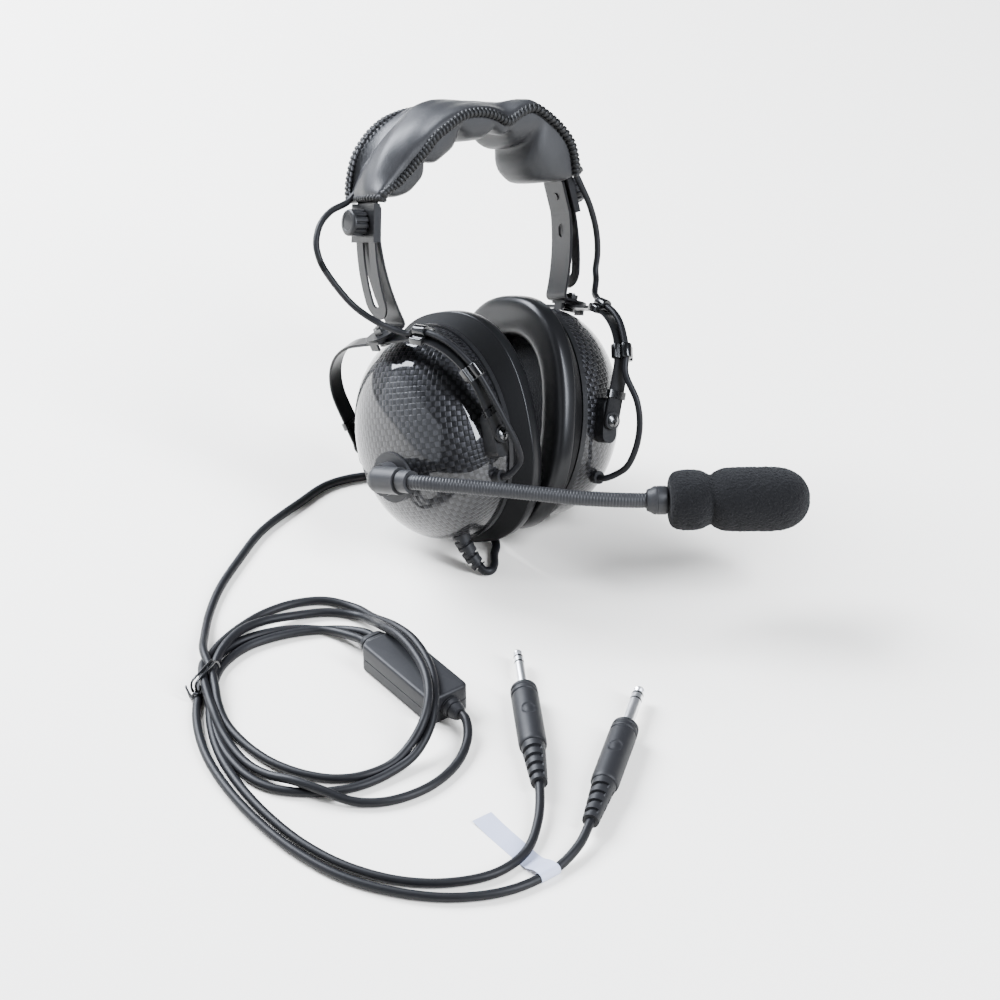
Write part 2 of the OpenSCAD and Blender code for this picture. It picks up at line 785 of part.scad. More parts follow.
module head_pad_cushion() {
  band_loft([for (i = [0:pad_n])
    let (d = lobe(i))
    [[-4, 0.9], [0.35 * (d + 4) - 4, 0.96], [0.75 * (d + 4) - 4, 0.9], [d, 0.66], [d, 0],
      [d, -0.66], [0.75 * (d + 4) - 4, -0.9], [0.35 * (d + 4) - 4, -0.96], [-4, -0.9]]]);
}

// The cord leaves the cup through this bent sleeve.
module cord_gland() {
  p = [[-41.6, -26, 22], [-41.4, -29, 17], [-40.6, -32.6, 12], [-39.6, -36, 7.8],
    [-38.4, -39.6, 4.7]];
  r = [5.2, 4.8, 4.4, 4, 3.8];
  n = 12;
  polyhedron(points = [for (i = [0:4]) each
      ring_points(p, i, r[i], r[i], n, [1, 0, 0], false)],
    faces = concat(tube_sides(5, n, false), tube_caps(5, n)), convexity = 4);
}

module boom_plate() {
  translate([plate_x, boom_y, boom_z])
    along_x() {
      cylinder(d = boom_plate_d, h = plate_h);
      cylinder(d = 6, h = plate_h + 4.5);
    }
}

module boom_elbow() {
  translate([0, boom_y, boom_z])
    difference() {
      union() {
        translate([plate_x + plate_h + gap, 0, 0])
          along_x() cylinder(d = 17, h = boom_x - plate_x - plate_h - gap);
        translate([boom_x, 0, 0.5])
          rotate([90 + neck_dip, 0, 0])
            cylinder(d = 14.4, h = 15);
        translate([boom_x, 0, 0.5])
          sphere(d = 14.4);
      }
      translate([plate_x, 0, 0])
        along_x() cylinder(d = 6.15, h = plate_h + 5);
    }
}

module boom_collar() {
  translate([boom_x, boom_y, boom_z + 0.5])
    rotate([90 + neck_dip, 0, 0]) {
      translate([0, 0, 15]) cylinder(d = 10, h = 1.1);
      translate([0, 0, 16]) cylinder(d = 11.8, h = 7);
    }
}

module head_frame() {
  mic_cup()
    translate([-26.7, -113.6, -47.4])
      rotate([0, head_tip, head_turn])
        children();
}

module mic_housing() {
  rotate_extrude()
    polygon([[0, 0], [6.4, 0], [7.4, 2], [7.4, 8], [6.4, 10], [6.4, 42], [5.4, 44],
      [0, 44]]);
}

// Foam screen of two lobes around the microphone.
module windscreen() {
  r = foam_d / 2;
  difference() {
    rotate_extrude($fn = 64)
      polygon([[6.5, 10.1], [11, 10.1], [r - 2.6, 13], [r - 1.2, 17], [r - 1.2, 25],
        [r - 2.6, 29.6], [r - 3.6, 31.4], [r - 2, 33.6], [r - 0.6, 38], [r, 46],
        [r, 64], [r - 1.4, 72], [r - 5.4, 78.6], [r - 11, 82], [0, 82.6], [0, 46],
        [6.5, 46]]);
    translate([0, 0, -1]) cylinder(d = 13, h = 46);
  }
}

module cord_tie() {
  translate([tie_x, tie_y, 0])
    rotate([0, 0, 28])
      difference() {
        translate([-12, -3, 0.05]) cube([24, 6, 11.4]);
        translate([-10.8, -4, 1.2]) cube([21.6, 8, 9.1]);
      }
}

module box_frame() {
  translate([box_x, box_y, 0])
    rotate([0, 0, -1])
      children();
}

module box_outline(w, l) {
  c = 3;
  polygon([[-w / 2 + c, -l / 2], [w / 2 - c, -l / 2], [w / 2, c - l / 2],
    [w / 2, l / 2 - c], [w / 2 - c, l / 2], [c - w / 2, l / 2], [-w / 2, l / 2 - c],
    [-w / 2, c - l / 2]]);
}

// Two moulded halves with a seam between them and a bevelled upper edge.
module splitter_case() {
  box_frame() {
    difference() {
      translate([0, 0, 0.05])
        linear_extrude(7.6) box_outline(box_w, box_l);
      translate([0, 0, 1.6])
        linear_extrude(7) box_outline(box_w - 3.6, box_l - 3.6);
      for (y = [-40, 20], x = (y < 0 ? [0] : [-3, 3]))
        translate([x, y, 8])
          rotate([-90, 0, 0]) cylinder(d = cord_d + 0.2, h = 22);
    }
    difference() {
      translate([0, 0, 7.65])
        linear_extrude(box_h - 7.65) box_outline(box_w, box_l);
      translate([0, 0, 7])
        linear_extrude(box_h - 8.8) box_outline(box_w - 3.6, box_l - 3.6);
      for (y = [-40, 20], x = (y < 0 ? [0] : [-3, 3]))
        translate([x, y, 8])
          rotate([-90, 0, 0]) cylinder(d = cord_d + 0.2, h = 22);
      for (m = [0, 1])
        mirror([m, 0, 0])
          translate([box_w / 2, 0, box_h])
            rotate([0, 45, 0])
              cube([4.2, 2 * box_l, 4.2], center = true);
    }
  }
}

module gland_sleeve(d) {
  difference() {
    union() {
      translate([0, 0, 0]) cylinder(d = d, h = 9);
      translate([0, 0, -3]) cylinder(d = d + 2, h = 1.2);
    }
    translate([0, 0, -8]) cylinder(d = cord_d, h = 20);
  }
}

module splitter_glands() {
  box_frame() {
    translate([0, -box_l / 2 - 9, 8])
      rotate([-90, 0, 0])
        difference() {
          cylinder(d = 8, h = 8.9);
          translate([0, 0, -1]) cylinder(d = cord_d, h = 12);
        }
    for (x = [-3.2, 3.2])
      translate([x, box_l / 2 + 0.1, 8])
        rotate([-90, 0, 0])
          difference() {
            cylinder(d = 6.2, h = 7.5);
            translate([0, 0, -1]) cylinder(d = cord_d, h = 10);
          }
  }
}

module plug_frame(x, y, a) {
  translate([x, y, plug_z])
    rotate([0, 0, a])
      along_x()
        children();
}

// Handle with two grip rings, a bare round recess and a slotted sleeve.
module plug_body() {
  r = plug_d / 2;
  difference() {
    rotate_extrude()
      polygon([[0, 0.1], [3.9, 0.1], [6, relief_l], [r - 0.6, relief_l + 1],
        [r, relief_l + 4], [r, relief_l + body_l - 8], [r - 0.7, relief_l + body_l - 7.6],
        [r - 0.7, relief_l + body_l - 6.6], [r, relief_l + body_l - 6.2],
        [r, relief_l + body_l - 4.6], [r - 0.7, relief_l + body_l - 4.2],
        [r - 0.7, relief_l + body_l - 3.2], [r - 0.2, relief_l + body_l - 2.8],
        [r - 0.8, relief_l + body_l], [0, relief_l + body_l]]);
    translate([0, 0, -1]) cylinder(d = cord_d, h = 12);
    translate([-r - 0.4, 0, relief_l + 22])
      along_x() cylinder(d = 8.4, h = 1);
    for (k = [0:3], s = [-1, 1])
      rotate([0, 0, 90 * (k % 2)])
        translate([s * 6.4, 0, 7 + k * 5.4])
          cube([4.6, 7, 1.8], center = true);
  }
}

module plug_pin(d) {
  r = d / 2;
  translate([0, 0, relief_l + body_l])
    rotate_extrude($fn = 64)
      polygon([[0, 0], [r, 0], [r, 20], [r - 1, 20], [r - 1, 21.2], [r, 21.2],
        [r, 24.4], [r - 1, 24.4], [r - 1, 25.6], [r - 0.4, 25.6], [r - 0.4, 26.2],
        [r - 0.9, 27.4], [r - 0.2, 28.8], [r - 0.6, 30], [r - 1.6, 30.8], [0, 31]]);
}

module pin_rings(d) {
  r = d / 2;
  for (z = [20, 24.4])
    translate([0, 0, relief_l + body_l + z])
      difference() {
        cylinder(d = d - 0.1, h = 1.2);
        translate([0, 0, -1]) cylinder(d = d - 2, h = 4);
      }
}

module lead_tag() {
  translate([-170, -247, 5.2])
    rotate([0, 0, 10]) {
      cube([26, 14, 0.5], center = true);
    }
}

color([0.14, 0.14, 0.15]) mic_cup() dome();  // mic_dome
color([0.1, 0.1, 0.1]) mic_cup() baffle();  // mic_baffle
color([0.18, 0.18, 0.19]) mic_cup() ear_seal();  // mic_ear_seal
color([0.3, 0.3, 0.32]) mic_cup() speaker();  // mic_speaker
color([0.2, 0.2, 0.2]) mic_cup() ear_foam();  // mic_ear_foam
color([0.08, 0.08, 0.08]) mic_cup() pivot_blocks();  // mic_pivot_blocks
color([0.7, 0.7, 0.7]) mic_cup() pivot_screws();  // mic_pivot_screws
color([0.1, 0.1, 0.1]) mic_cup() lead_gland(mic_exit);  // mic_lead_gland
color([0.1, 0.1, 0.1]) table() cord_gland();
color([0.12, 0.12, 0.12]) mic_cup() boom_plate();
color([0.1, 0.1, 0.1]) mic_cup() boom_elbow();
color([0.15, 0.15, 0.15]) mic_cup() boom_collar();
color([0.12, 0.12, 0.12]) mic_cup() tube(neck_path, neck_d / 2, neck_d / 2, 12, [0, 0, 1]);  // gooseneck
color([0.12, 0.12, 0.12]) head_frame() mic_housing();
color([0.2, 0.2, 0.21]) head_frame() windscreen();
color([0.12, 0.12, 0.12]) mic_bolt() stirrup();  // mic_stirrup
color([0.05, 0.05, 0.05]) mic_bolt() cable_clips();  // mic_cable_clips
color([0.13, 0.13, 0.13]) mic_arm() slider_arm();  // mic_slider_arm
color([0.16, 0.16, 0.16]) mic_side() bolt_frame(mic_out, 0) limiter();  // mic_limiter
color([0.13, 0.13, 0.13]) mic_arm() clamp_plate();  // mic_clamp_plate
color([0.25, 0.25, 0.25]) mic_side() bolt_frame(mic_out, 0) swivel_bolt();  // mic_swivel_bolt
color([0.08, 0.08, 0.08]) mic_arm() knob();  // mic_knob
color([0.14, 0.14, 0.14]) hold() headband_spring();
color([0.16, 0.16, 0.17]) hold() head_pad_cover();
color([0.2, 0.2, 0.21]) hold() head_pad_cushion();
color([0.08, 0.08, 0.08]) phone_arm() knob();  // phone_knob
color([0.13, 0.13, 0.13]) phone_arm() clamp_plate();  // phone_clamp_plate
color([0.13, 0.13, 0.13]) phone_arm() slider_arm();  // phone_slider_arm
color([0.16, 0.16, 0.16]) hold() bolt_frame(phone_out, 0) limiter();  // phone_limiter
color([0.25, 0.25, 0.25]) hold() bolt_frame(phone_out, 0) swivel_bolt();  // phone_swivel_bolt
color([0.12, 0.12, 0.12]) phone_bolt() stirrup();  // phone_stirrup
color([0.05, 0.05, 0.05]) phone_bolt() cable_clips();  // phone_cable_clips
color([0.7, 0.7, 0.7]) phone_cup() pivot_screws();  // phone_pivot_screws
color([0.08, 0.08, 0.08]) phone_cup() pivot_blocks();  // phone_pivot_blocks
color([0.14, 0.14, 0.15]) phone_cup() dome();  // phone_dome
color([0.1, 0.1, 0.1]) phone_cup() baffle();  // phone_baffle
color([0.18, 0.18, 0.19]) phone_cup() ear_seal();  // phone_ear_seal
color([0.3, 0.3, 0.32]) phone_cup() speaker();  // phone_speaker
color([0.2, 0.2, 0.2]) phone_cup() ear_foam();  // phone_ear_foam
color([0.1, 0.1, 0.1]) phone_cup() lead_gland(phone_exit);  // phone_lead_gland
color([0.06, 0.06, 0.06]) mic_bolt() tube(mic_low, cross_d / 2, cross_d / 2, 8, [1, 0, 0]);  // cross_mic_low
color([0.06, 0.06, 0.06]) mic_arm() tube(mic_mid, cross_d / 2, cross_d / 2, 8, [1, 0, 0]);  // cross_mic_mid
color([0.06, 0.06, 0.06]) mic_side() tube(mic_high, cross_d / 2, cross_d / 2, 8, [0, 1, 0]);  // cross_mic_high
color([0.06, 0.06, 0.06]) hold() tube(phone_high, cross_d / 2, cross_d / 2, 8, [0, 1, 0]);  // cross_phone_high
color([0.06, 0.06, 0.06])  // cross_phone_mid
    phone_arm() tube(phone_mid, cross_d / 2, cross_d / 2, 8, [1, 0, 0]);
color([0.06, 0.06, 0.06])  // cross_phone_low
    phone_bolt() tube(phone_low, cross_d / 2, cross_d / 2, 8, [1, 0, 0]);
color([0.06, 0.06, 0.06]) table() tube(main_path, cord_d / 2, cord_d / 2, 10, [0, 0, 1]);  // main_cord
color([0.07, 0.07, 0.07]) table() ring_tube(coil_path, 6, 4.7, 10, [0, 0, 1]);  // cord_coil
color([0.06, 0.06, 0.06]) table() tube(end_path, cord_d / 2, cord_d / 2, 10, [0, 0, 1]);  // cord_end
color([0.04, 0.04, 0.04]) table() cord_tie();
color([0.1, 0.1, 0.1]) table() splitter_case();
color([0.07, 0.07, 0.07]) table() splitter_glands();
color([0.06, 0.06, 0.06]) table() tube(mic_path, cord_d / 2, cord_d / 2, 8, [0, 0, 1]);  // mic_lead
color([0.06, 0.06, 0.06]) table() tube(phones_path, cord_d / 2, cord_d / 2, 8, [0, 0, 1]);  // phones_lead
color([0.1, 0.1, 0.1]) table() plug_frame(-127.4, -201.5, 57.5) plug_body();  // mic_plug_body
color([0.8, 0.7, 0.45]) table() plug_frame(-127.4, -201.5, 57.5) plug_pin(mic_pin_d);  // mic_plug_pin
color([0.1, 0.1, 0.1]) table() plug_frame(-126, -238, 36.9) plug_body();  // phones_plug_body
color([0.8, 0.7, 0.45]) table() plug_frame(-126, -238, 36.9) plug_pin(phones_pin_d);  // phones_plug_pin
color([0.05, 0.05, 0.05]) table() {  // plug_insulators
    plug_frame(-127.4, -201.5, 57.5) pin_rings(mic_pin_d);
    plug_frame(-126, -238, 36.9) pin_rings(phones_pin_d);
  }
color([0.9, 0.9, 0.9]) table() lead_tag();
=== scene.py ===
"""Aviation headset: two carbon cups on a slotted spring band, a boom microphone, one
coiled cord with its splitter, and two plugs. Shapes are worked out in millimetres in
the same frames as the CAD source and become metres when a mesh is made."""

import math

import bmesh
import bpy
import numpy as np
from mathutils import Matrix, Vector


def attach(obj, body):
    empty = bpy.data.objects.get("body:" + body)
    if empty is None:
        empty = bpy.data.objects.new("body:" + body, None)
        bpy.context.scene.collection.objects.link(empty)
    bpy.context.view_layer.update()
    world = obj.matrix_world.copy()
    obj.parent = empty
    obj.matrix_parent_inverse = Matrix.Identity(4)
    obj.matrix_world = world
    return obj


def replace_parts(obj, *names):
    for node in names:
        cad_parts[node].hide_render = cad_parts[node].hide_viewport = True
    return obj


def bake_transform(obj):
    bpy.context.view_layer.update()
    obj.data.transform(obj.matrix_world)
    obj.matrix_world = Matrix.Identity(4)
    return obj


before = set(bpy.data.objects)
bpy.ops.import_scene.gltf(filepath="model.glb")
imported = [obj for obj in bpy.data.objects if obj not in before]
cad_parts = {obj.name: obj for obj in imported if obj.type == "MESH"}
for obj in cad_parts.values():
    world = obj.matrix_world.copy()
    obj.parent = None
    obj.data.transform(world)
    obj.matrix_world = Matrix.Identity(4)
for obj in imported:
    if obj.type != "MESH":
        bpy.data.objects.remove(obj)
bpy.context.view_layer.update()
MM = 0.001


# ---------------------------------------------------------------- frames


def shift(x, y, z):
    """A move, as a 4 by 4 array."""
    m = np.eye(4)
    m[:3, 3] = (x, y, z)
    return m


def turn(axis, degrees):
    """A right-handed turn about x, y or z."""
    a, m = math.radians(degrees), np.eye(4)
    i, j = {"x": (1, 2), "y": (2, 0), "z": (0, 1)}[axis]
    m[i, i] = m[j, j] = math.cos(a)
    m[j, i], m[i, j] = math.sin(a), -math.sin(a)
    return m


def placed(points, m):
    """Points of the frame m as points of the whole."""
    return np.asarray(points, float) @ m[:3, :3].T + m[:3, 3]


def sind(a):
    """The sine of an angle in degrees."""
    return np.sin(np.radians(a))


def cosd(a):
    """The cosine of an angle in degrees."""
    return np.cos(np.radians(a))


HOLD = shift(-4.4, 37.9, 54.62) @ turn("x", -24) @ turn("y", 10)
MIC_SIDE = HOLD @ np.diag([-1.0, 1, 1, 1])
TABLE = shift(-4.4, 37.9, 0)
KNOB_X, KNOB_Z, KNOB_A = 63, 117.5, 8.8
STRAP_R, STRAP_LOW, STRAP_TOP, STRAP_T = 116, -15.2, 14, 1.2
STRAP_X, STRAP_Z = KNOB_X - STRAP_R * cosd(KNOB_A), KNOB_Z - STRAP_R * sind(KNOB_A)
SHOULDER_R, SHOULDER_TOP = 56, 60
SHOULDER_X = STRAP_X + (STRAP_R - SHOULDER_R) * cosd(STRAP_TOP)
SHOULDER_Z = STRAP_Z + (STRAP_R - SHOULDER_R) * sind(STRAP_TOP)
CROWN_R = (SHOULDER_X + SHOULDER_R * cosd(SHOULDER_TOP)) / cosd(SHOULDER_TOP)
CROWN_Z = SHOULDER_Z + (SHOULDER_R - CROWN_R) * sind(SHOULDER_TOP)
ARM_T, ARM_R, ARM_A, ARM_FLAT, FOOT_A = 1.5, 122, -1, 9, 20
ARM_OFF = STRAP_T / 2 + 1.7 + ARM_T / 2
ARM_X = KNOB_X - ARM_OFF * cosd(KNOB_A) + sind(KNOB_A) * ARM_FLAT - ARM_R * cosd(ARM_A)
ARM_Z = KNOB_Z - ARM_OFF * sind(KNOB_A) - cosd(KNOB_A) * ARM_FLAT - ARM_R * sind(ARM_A)
FOOT_DROP, BOLT_OUT, YOKE_DROP, YOKE_HALF, YOKE_TOP = 5.6, 10, 64, 54, 3.95
STRAP_HALF, SLOT_HALF, ARM_HALF, STIRRUP_HALF, YOKE_CORNER = 9.5, 2.9, 9, 4.75, 34
PIVOT_IN, PIVOT_LOW = 11, 2
# how far the arms are drawn out at rest, and the turn and tilt of each cup
REST_OUT, TOP_STOP = 0.5, 3
MIC_YAW, MIC_TIP, PHONE_YAW, PHONE_TIP = -12, 18.5, 2, 10.5


def slid():
    """The arm's frame: the headband's, moved along the strap."""
    out = REST_OUT - TOP_STOP
    return shift(sind(KNOB_A) * out, 0, -cosd(KNOB_A) * out)


def bolt(yaw):
    """The stirrup's frame: at the arm's foot, turned about the swivel bolt."""
    foot = shift(ARM_X, 0, ARM_Z) @ turn("y", FOOT_A)
    return slid() @ foot @ shift(ARM_R + BOLT_OUT, 0, -FOOT_DROP) @ turn("z", yaw)


def cup(yaw, tip):
    """The cup's frame: hung in the stirrup and tilted about its two pivots."""
    hung = bolt(yaw) @ shift(0, 0, -YOKE_DROP) @ turn("y", -tip)
    return hung @ shift(-PIVOT_IN, 0, PIVOT_LOW)


MIC_BOLT, PHONE_BOLT = MIC_SIDE @ bolt(MIC_YAW), HOLD @ bolt(PHONE_YAW)
MIC_CUP, PHONE_CUP = MIC_SIDE @ cup(MIC_YAW, MIC_TIP), HOLD @ cup(PHONE_YAW, PHONE_TIP)
MIC_ARM, PHONE_ARM = MIC_SIDE @ slid(), HOLD @ slid()
HEAD = MIC_CUP @ shift(-26.7, -113.6, -47.4) @ turn("z", -137.8) @ turn("y", 99.7)


# ---------------------------------------------------------------- camera


def add_camera():
    """The camera stands at azimuth -38 and elevation 34 degrees, 1.5 m away."""
    a, e = math.radians(-38), math.radians(34)
    back = Vector((math.sin(a) * math.cos(e), -math.cos(a) * math.cos(e), math.sin(e)))
    camera = bpy.data.objects.new("camera", bpy.data.cameras.new("camera"))
    camera.data.lens = 102.6
    camera.data.sensor_width = 36
    camera.location = (-0.7944, -0.9811, 0.880)
    camera.rotation_mode = "QUATERNION"
    camera.rotation_quaternion = (-back).to_track_quat("-Z", "Y")
    bpy.context.scene.collection.objects.link(camera)
    bpy.context.scene.camera = camera


add_camera()


# ---------------------------------------------------------------- shader words


class Tone:
    """A value inside a finish: arithmetic on it adds Math nodes."""

    def __init__(self, finish, socket):
        self.finish, self.socket = finish, socket

    def worked(self, operation, *terms):
        return self.finish.node("ShaderNodeMath", {"operation": operation},
                                dict(enumerate(terms)))

    def __add__(self, other):
        return self.worked("ADD", self, other)

    def __sub__(self, other):
        return self.worked("SUBTRACT", self, other)

    def __rsub__(self, other):
        return self.worked("SUBTRACT", other, self)

    def __mul__(self, other):
        return self.worked("MULTIPLY", self, other)

    def __mod__(self, other):
        return self.worked("FLOORED_MODULO", self, other)

    def __pow__(self, other):
        return self.worked("POWER", self, other)

    def __lt__(self, other):
        return self.worked("LESS_THAN", self, other)

    __radd__, __rmul__ = __add__, __mul__

    def floor(self):
        return self.worked("FLOOR", self)

    def sine(self):
        return self.worked("SINE", self)


class Finish:
    """One procedural material and the nodes that feed its shader. The numbers that are the
    same all over it are set on the shader's own sockets."""

    def __init__(self, name, fixed):
        self.material = bpy.data.materials.new(name)
        self.material.use_nodes = True
        self.tree = self.material.node_tree
        self.shader = self.tree.nodes["Principled BSDF"]
        for socket, value in fixed.items():
            self.shader.inputs[socket].default_value = value

    def node(self, kind, settings=None, inputs=None, output=0):
        """A node of that type: its settings first, then its sockets' values or links."""
        made = self.tree.nodes.new(kind)
        for key, value in (settings or {}).items():
            if key == "stops":
                ramp = made.color_ramp.elements
                for i, (place, colour) in enumerate(value):
                    stop = ramp[i] if i < 2 else ramp.new(place)
                    stop.position, stop.color = place, colour
            else:
                setattr(made, key, value)
        for key, value in (inputs or {}).items():
            if isinstance(value, Tone):
                self.tree.links.new(value.socket, made.inputs[key])
            else:
                made.inputs[key].default_value = value
        return Tone(self, made.outputs[output])

    def feed(self, socket, tone):
        self.tree.links.new(tone.socket, self.shader.inputs[socket])
        return self

    def place(self):
        return self.node("ShaderNodeTexCoord", output=3)

    def pair(self):
        """The piece's own two surface coordinates."""
        own = self.node("ShaderNodeUVMap", {"uv_map": "UVMap"})
        return [self.node("ShaderNodeSeparateXYZ", None, {0: own}, output=k) for k in (0, 1)]

    def noise(self, scale, detail, rough=0.55):
        return self.node("ShaderNodeTexNoise", None, {
            "Vector": self.place(), "Scale": scale, "Detail": detail, "Roughness": rough})

    def cells(self, scale):
        return self.node("ShaderNodeTexVoronoi", {"feature": "DISTANCE_TO_EDGE"},
                         {"Vector": self.place(), "Scale": scale})

    def mix(self, share, low, high):
        return self.node("ShaderNodeMix", {"data_type": "RGBA"},
                         {0: share, 6: low, 7: high}, 2)

    def emboss(self, height, deep, strength):
        raised = self.node("ShaderNodeBump", None, {
            "Height": height, "Distance": deep, "Strength": strength})
        return self.feed("Normal", raised)


def grey(value, blue=0.06):
    """A grey with a touch of blue, as a shader colour."""
    return (value, value, value * (1 + blue), 1)


def carbon_cloth():
    """Plain weave under a clear coat. In every second cell the upright tow lies on top,
    in the others the level one; its back bulges as one minus the fourth power of the way
    across it, times one minus nine tenths of the sixth power of the way along it."""
    f = Finish("carbon_cloth", {"Coat Weight": 1, "Coat Roughness": 0.02, "Coat IOR": 1.36,
                                "Specular IOR Level": 0.2})
    u, v = f.pair()
    top = ((u.floor() + v.floor()) % 2) < 0.5
    across = top * (u % 1) + (1 - top) * (v % 1)
    along = top * (v % 1) + (1 - top) * (u % 1)
    bulge = (1 - (2 * across - 1) ** 4) * (1 - 0.9 * (2 * along - 1) ** 6)
    strand = ((across * 44).sine() * 0.5 + 0.5) * bulge
    patch = f.noise(60, 2)
    # Base colour: a painted highlight on the back of each tow, and a painted sheen that makes the
    # upright tows brighter than the level ones; the noise patch is random tone.
    f.feed("Base Color", f.mix(bulge * (0.3 + 0.7 * top) * (0.6 + 0.8 * patch),
                               grey(0.001), grey(0.026, 0.1)))
    f.feed("Roughness", 0.30 + 0.2 * strand)
    f.feed("Metallic", 0.25 + 0.35 * bulge)
    return f.emboss(bulge + 0.12 * strand, 0.0003, 0.7).material


def soft_skin(name, base, shine, grain, deep, worn=0.0):
    """Leather or skin: cell edges and fine noise raise the grain, broad noise turns the
    colour and the shine a little."""
    f = Finish(name, {"Specular IOR Level": 0.26, "Coat Weight": 0.05, "Coat Roughness": 0.3})
    broad, fine = f.noise(38, 4), f.noise(900, 3)
    cell = f.cells(grain)
    f.feed("Base Color", f.mix(broad + worn * fine - 0.2, grey(base * 0.75), grey(base * 1.5)))
    f.feed("Roughness", shine + 0.16 * broad + 0.08 * fine)
    return f.emboss(cell * 2 + 0.35 * fine, deep, 0.35).material


def seal_skin():
    """The ear seal: a dull stretched skirt behind the edge line, a satin face before it."""
    f = Finish("seal_skin", {"Specular IOR Level": 0.12, "Coat Roughness": 0.2})
    _, v = f.pair()
    skirt = f.node("ShaderNodeValToRGB", {"stops": [(0.0, grey(1)), (0.205, grey(1)),
                                                    (0.215, grey(0)), (1.0, grey(0))]}, {0: v})
    broad, fine = f.noise(30, 3), f.noise(700, 2)
    satin = f.mix(broad, grey(0.004), grey(0.008))
    f.feed("Base Color", f.mix(skirt, satin, grey(0.002)))
    dull = f.mix(skirt, grey(0.34, 0), grey(0.75, 0))
    f.feed("Roughness", dull + 0.1 * (broad - 0.5))
    f.feed("Coat Weight", 0.12 * (1 - skirt))
    return f.emboss(fine, 0.00006, 0.25).material


def painted_steel(name, base, shine):
    """Satin powder coat: fine orange peel, and a paler rub on the broad faces."""
    f = Finish(name, {"Specular IOR Level": 0.2})
    peel, rub = f.noise(1400, 2), f.noise(70, 5, 0.65)
    f.feed("Base Color", f.mix(rub, grey(base * 0.8), grey(base * 1.35)))
    f.feed("Roughness", shine + 0.14 * rub)
    return f.emboss(peel, 0.00008, 0.4).material


def moulded(name, base, shine, blue=0.06, peel=600, coat=0.0):
    """Moulded plastic or rubber: faint flow marks and a fine texture."""
    f = Finish(name, {"Specular IOR Level": 0.22, "Coat Weight": coat, "Coat Roughness": 0.08})
    flow, fine = f.noise(45, 4), f.noise(peel, 3)
    f.feed("Base Color", f.mix(flow, grey(base * 0.82, blue), grey(base * 1.22, blue)))
    f.feed("Roughness", shine + 0.1 * flow + 0.06 * fine)
    return f.emboss(fine, 0.00006, 0.4).material


def cord_jacket():
    """Cord jacket: dull rubber with faint draw lines along it and a little dust."""
    f = Finish("cord_jacket", {"Specular IOR Level": 0.18})
    _, v = f.pair()
    lines = ((v * 80).sine() * 0.5 + 0.5) * f.noise(140, 2)
    dust = f.noise(500, 5, 0.7)
    f.feed("Base Color", f.mix(dust * 0.5, grey(0.004, 0.16), grey(0.009, 0.2)))
    f.feed("Roughness", 0.40 + 0.16 * dust)
    return f.emboss(lines, 0.00002, 0.2).material


def plated(name, base, shine):
    """Plated metal: fine turning marks break its gloss."""
    f = Finish(name, {"Metallic": 1.0})
    marks = f.noise(260, 6, 0.7)
    f.feed("Base Color", f.mix(marks, grey(base * 0.86, 0.01), grey(base, 0.01)))
    f.feed("Roughness", shine + 0.12 * marks)
    return f.emboss(f.noise(900, 2), 0.00003, 0.25).material


def foam(name, base):
    """Open foam: pores of two sizes, with no gloss."""
    f = Finish(name, {"Specular IOR Level": 0.1, "Sheen Weight": 0.04, "Sheen Roughness": 0.6})
    pore, fine = f.cells(900), f.noise(1500, 4, 0.7)
    f.feed("Base Color", f.mix(fine * 0.8 + pore, grey(base * 0.4), grey(base * 1.8, 0.1)))
    f.feed("Roughness", 0.86 + 0.1 * fine)
    return f.emboss(pore + fine, 0.0005, 0.9).material


def label_film():
    """White film with a soft gloss and faint creases; it is blank."""
    f = Finish("label_film", {"Specular IOR Level": 0.5})
    crease = f.noise(70, 3)
    f.feed("Base Color", f.mix(crease, (0.36, 0.39, 0.52, 1), (0.46, 0.49, 0.62, 1)))
    f.feed("Roughness", 0.28 + 0.2 * crease)
    return f.emboss(crease, 0.0004, 0.3).material


CARBON = carbon_cloth()
SEAL = seal_skin()
PAD_LEATHER = soft_skin("pad_leather", 0.014, 0.33, 1300, 0.00016, 0.3)
LACE = soft_skin("lace_leather", 0.002, 0.42, 1600, 0.00012)
ROPE = soft_skin("rope_leather", 0.035, 0.42, 1600, 0.00012)
LOBE = soft_skin("lobe_leather", 0.012, 0.40, 1500, 0.00010, 0.2)
STEEL = painted_steel("painted_steel", 0.006, 0.26)
CLIP = moulded("clip_plastic", 0.004, 0.12, coat=0.4)
BLOCK = moulded("block_plastic", 0.008, 0.34)
BOOM = moulded("boom_rubber", 0.017, 0.36)
BODY = moulded("plug_rubber", 0.008, 0.46, 0.12)
CASE = moulded("case_plastic", 0.009, 0.42, 0.12, 300)
CORD = cord_jacket()
BRIGHT = plated("nickel", 0.98, 0.26)
SCREW = plated("screw_steel", 0.10, 0.2)
DRIVER = plated("driver_steel", 0.35, 0.3)
SCREEN = foam("screen_foam", 0.0045)
EAR_CLOTH = foam("ear_cloth", 0.004)
RING = moulded("pin_ring", 0.01, 0.3)
FILM = label_film()
TIE = moulded("tie_plastic", 0.008, 0.22, coat=0.3)


# ---------------------------------------------------------------- shape words


def travelled(line):
    """The way along a line to each of its points."""
    return np.concatenate([[0], np.cumsum(np.linalg.norm(np.diff(line, axis=0), axis=1))])


def even(line, step):
    """The line again with its points an equal way apart."""
    far = travelled(line)
    at = np.linspace(0, far[-1], max(2, int(round(far[-1] / step)) + 1))
    return np.stack([np.interp(at, far, line[:, k]) for k in range(line.shape[1])], 1)


def cubic(t, a, b, ma, mb):
    """The cubic from a to b that starts with slope ma and ends with mb, at share t."""
    fine = (1 + 2 * t) * (1 - t) ** 2 * a + t * (1 - t) ** 2 * ma
    return fine + t * t * (3 - 2 * t) * b + t * t * (t - 1) * mb


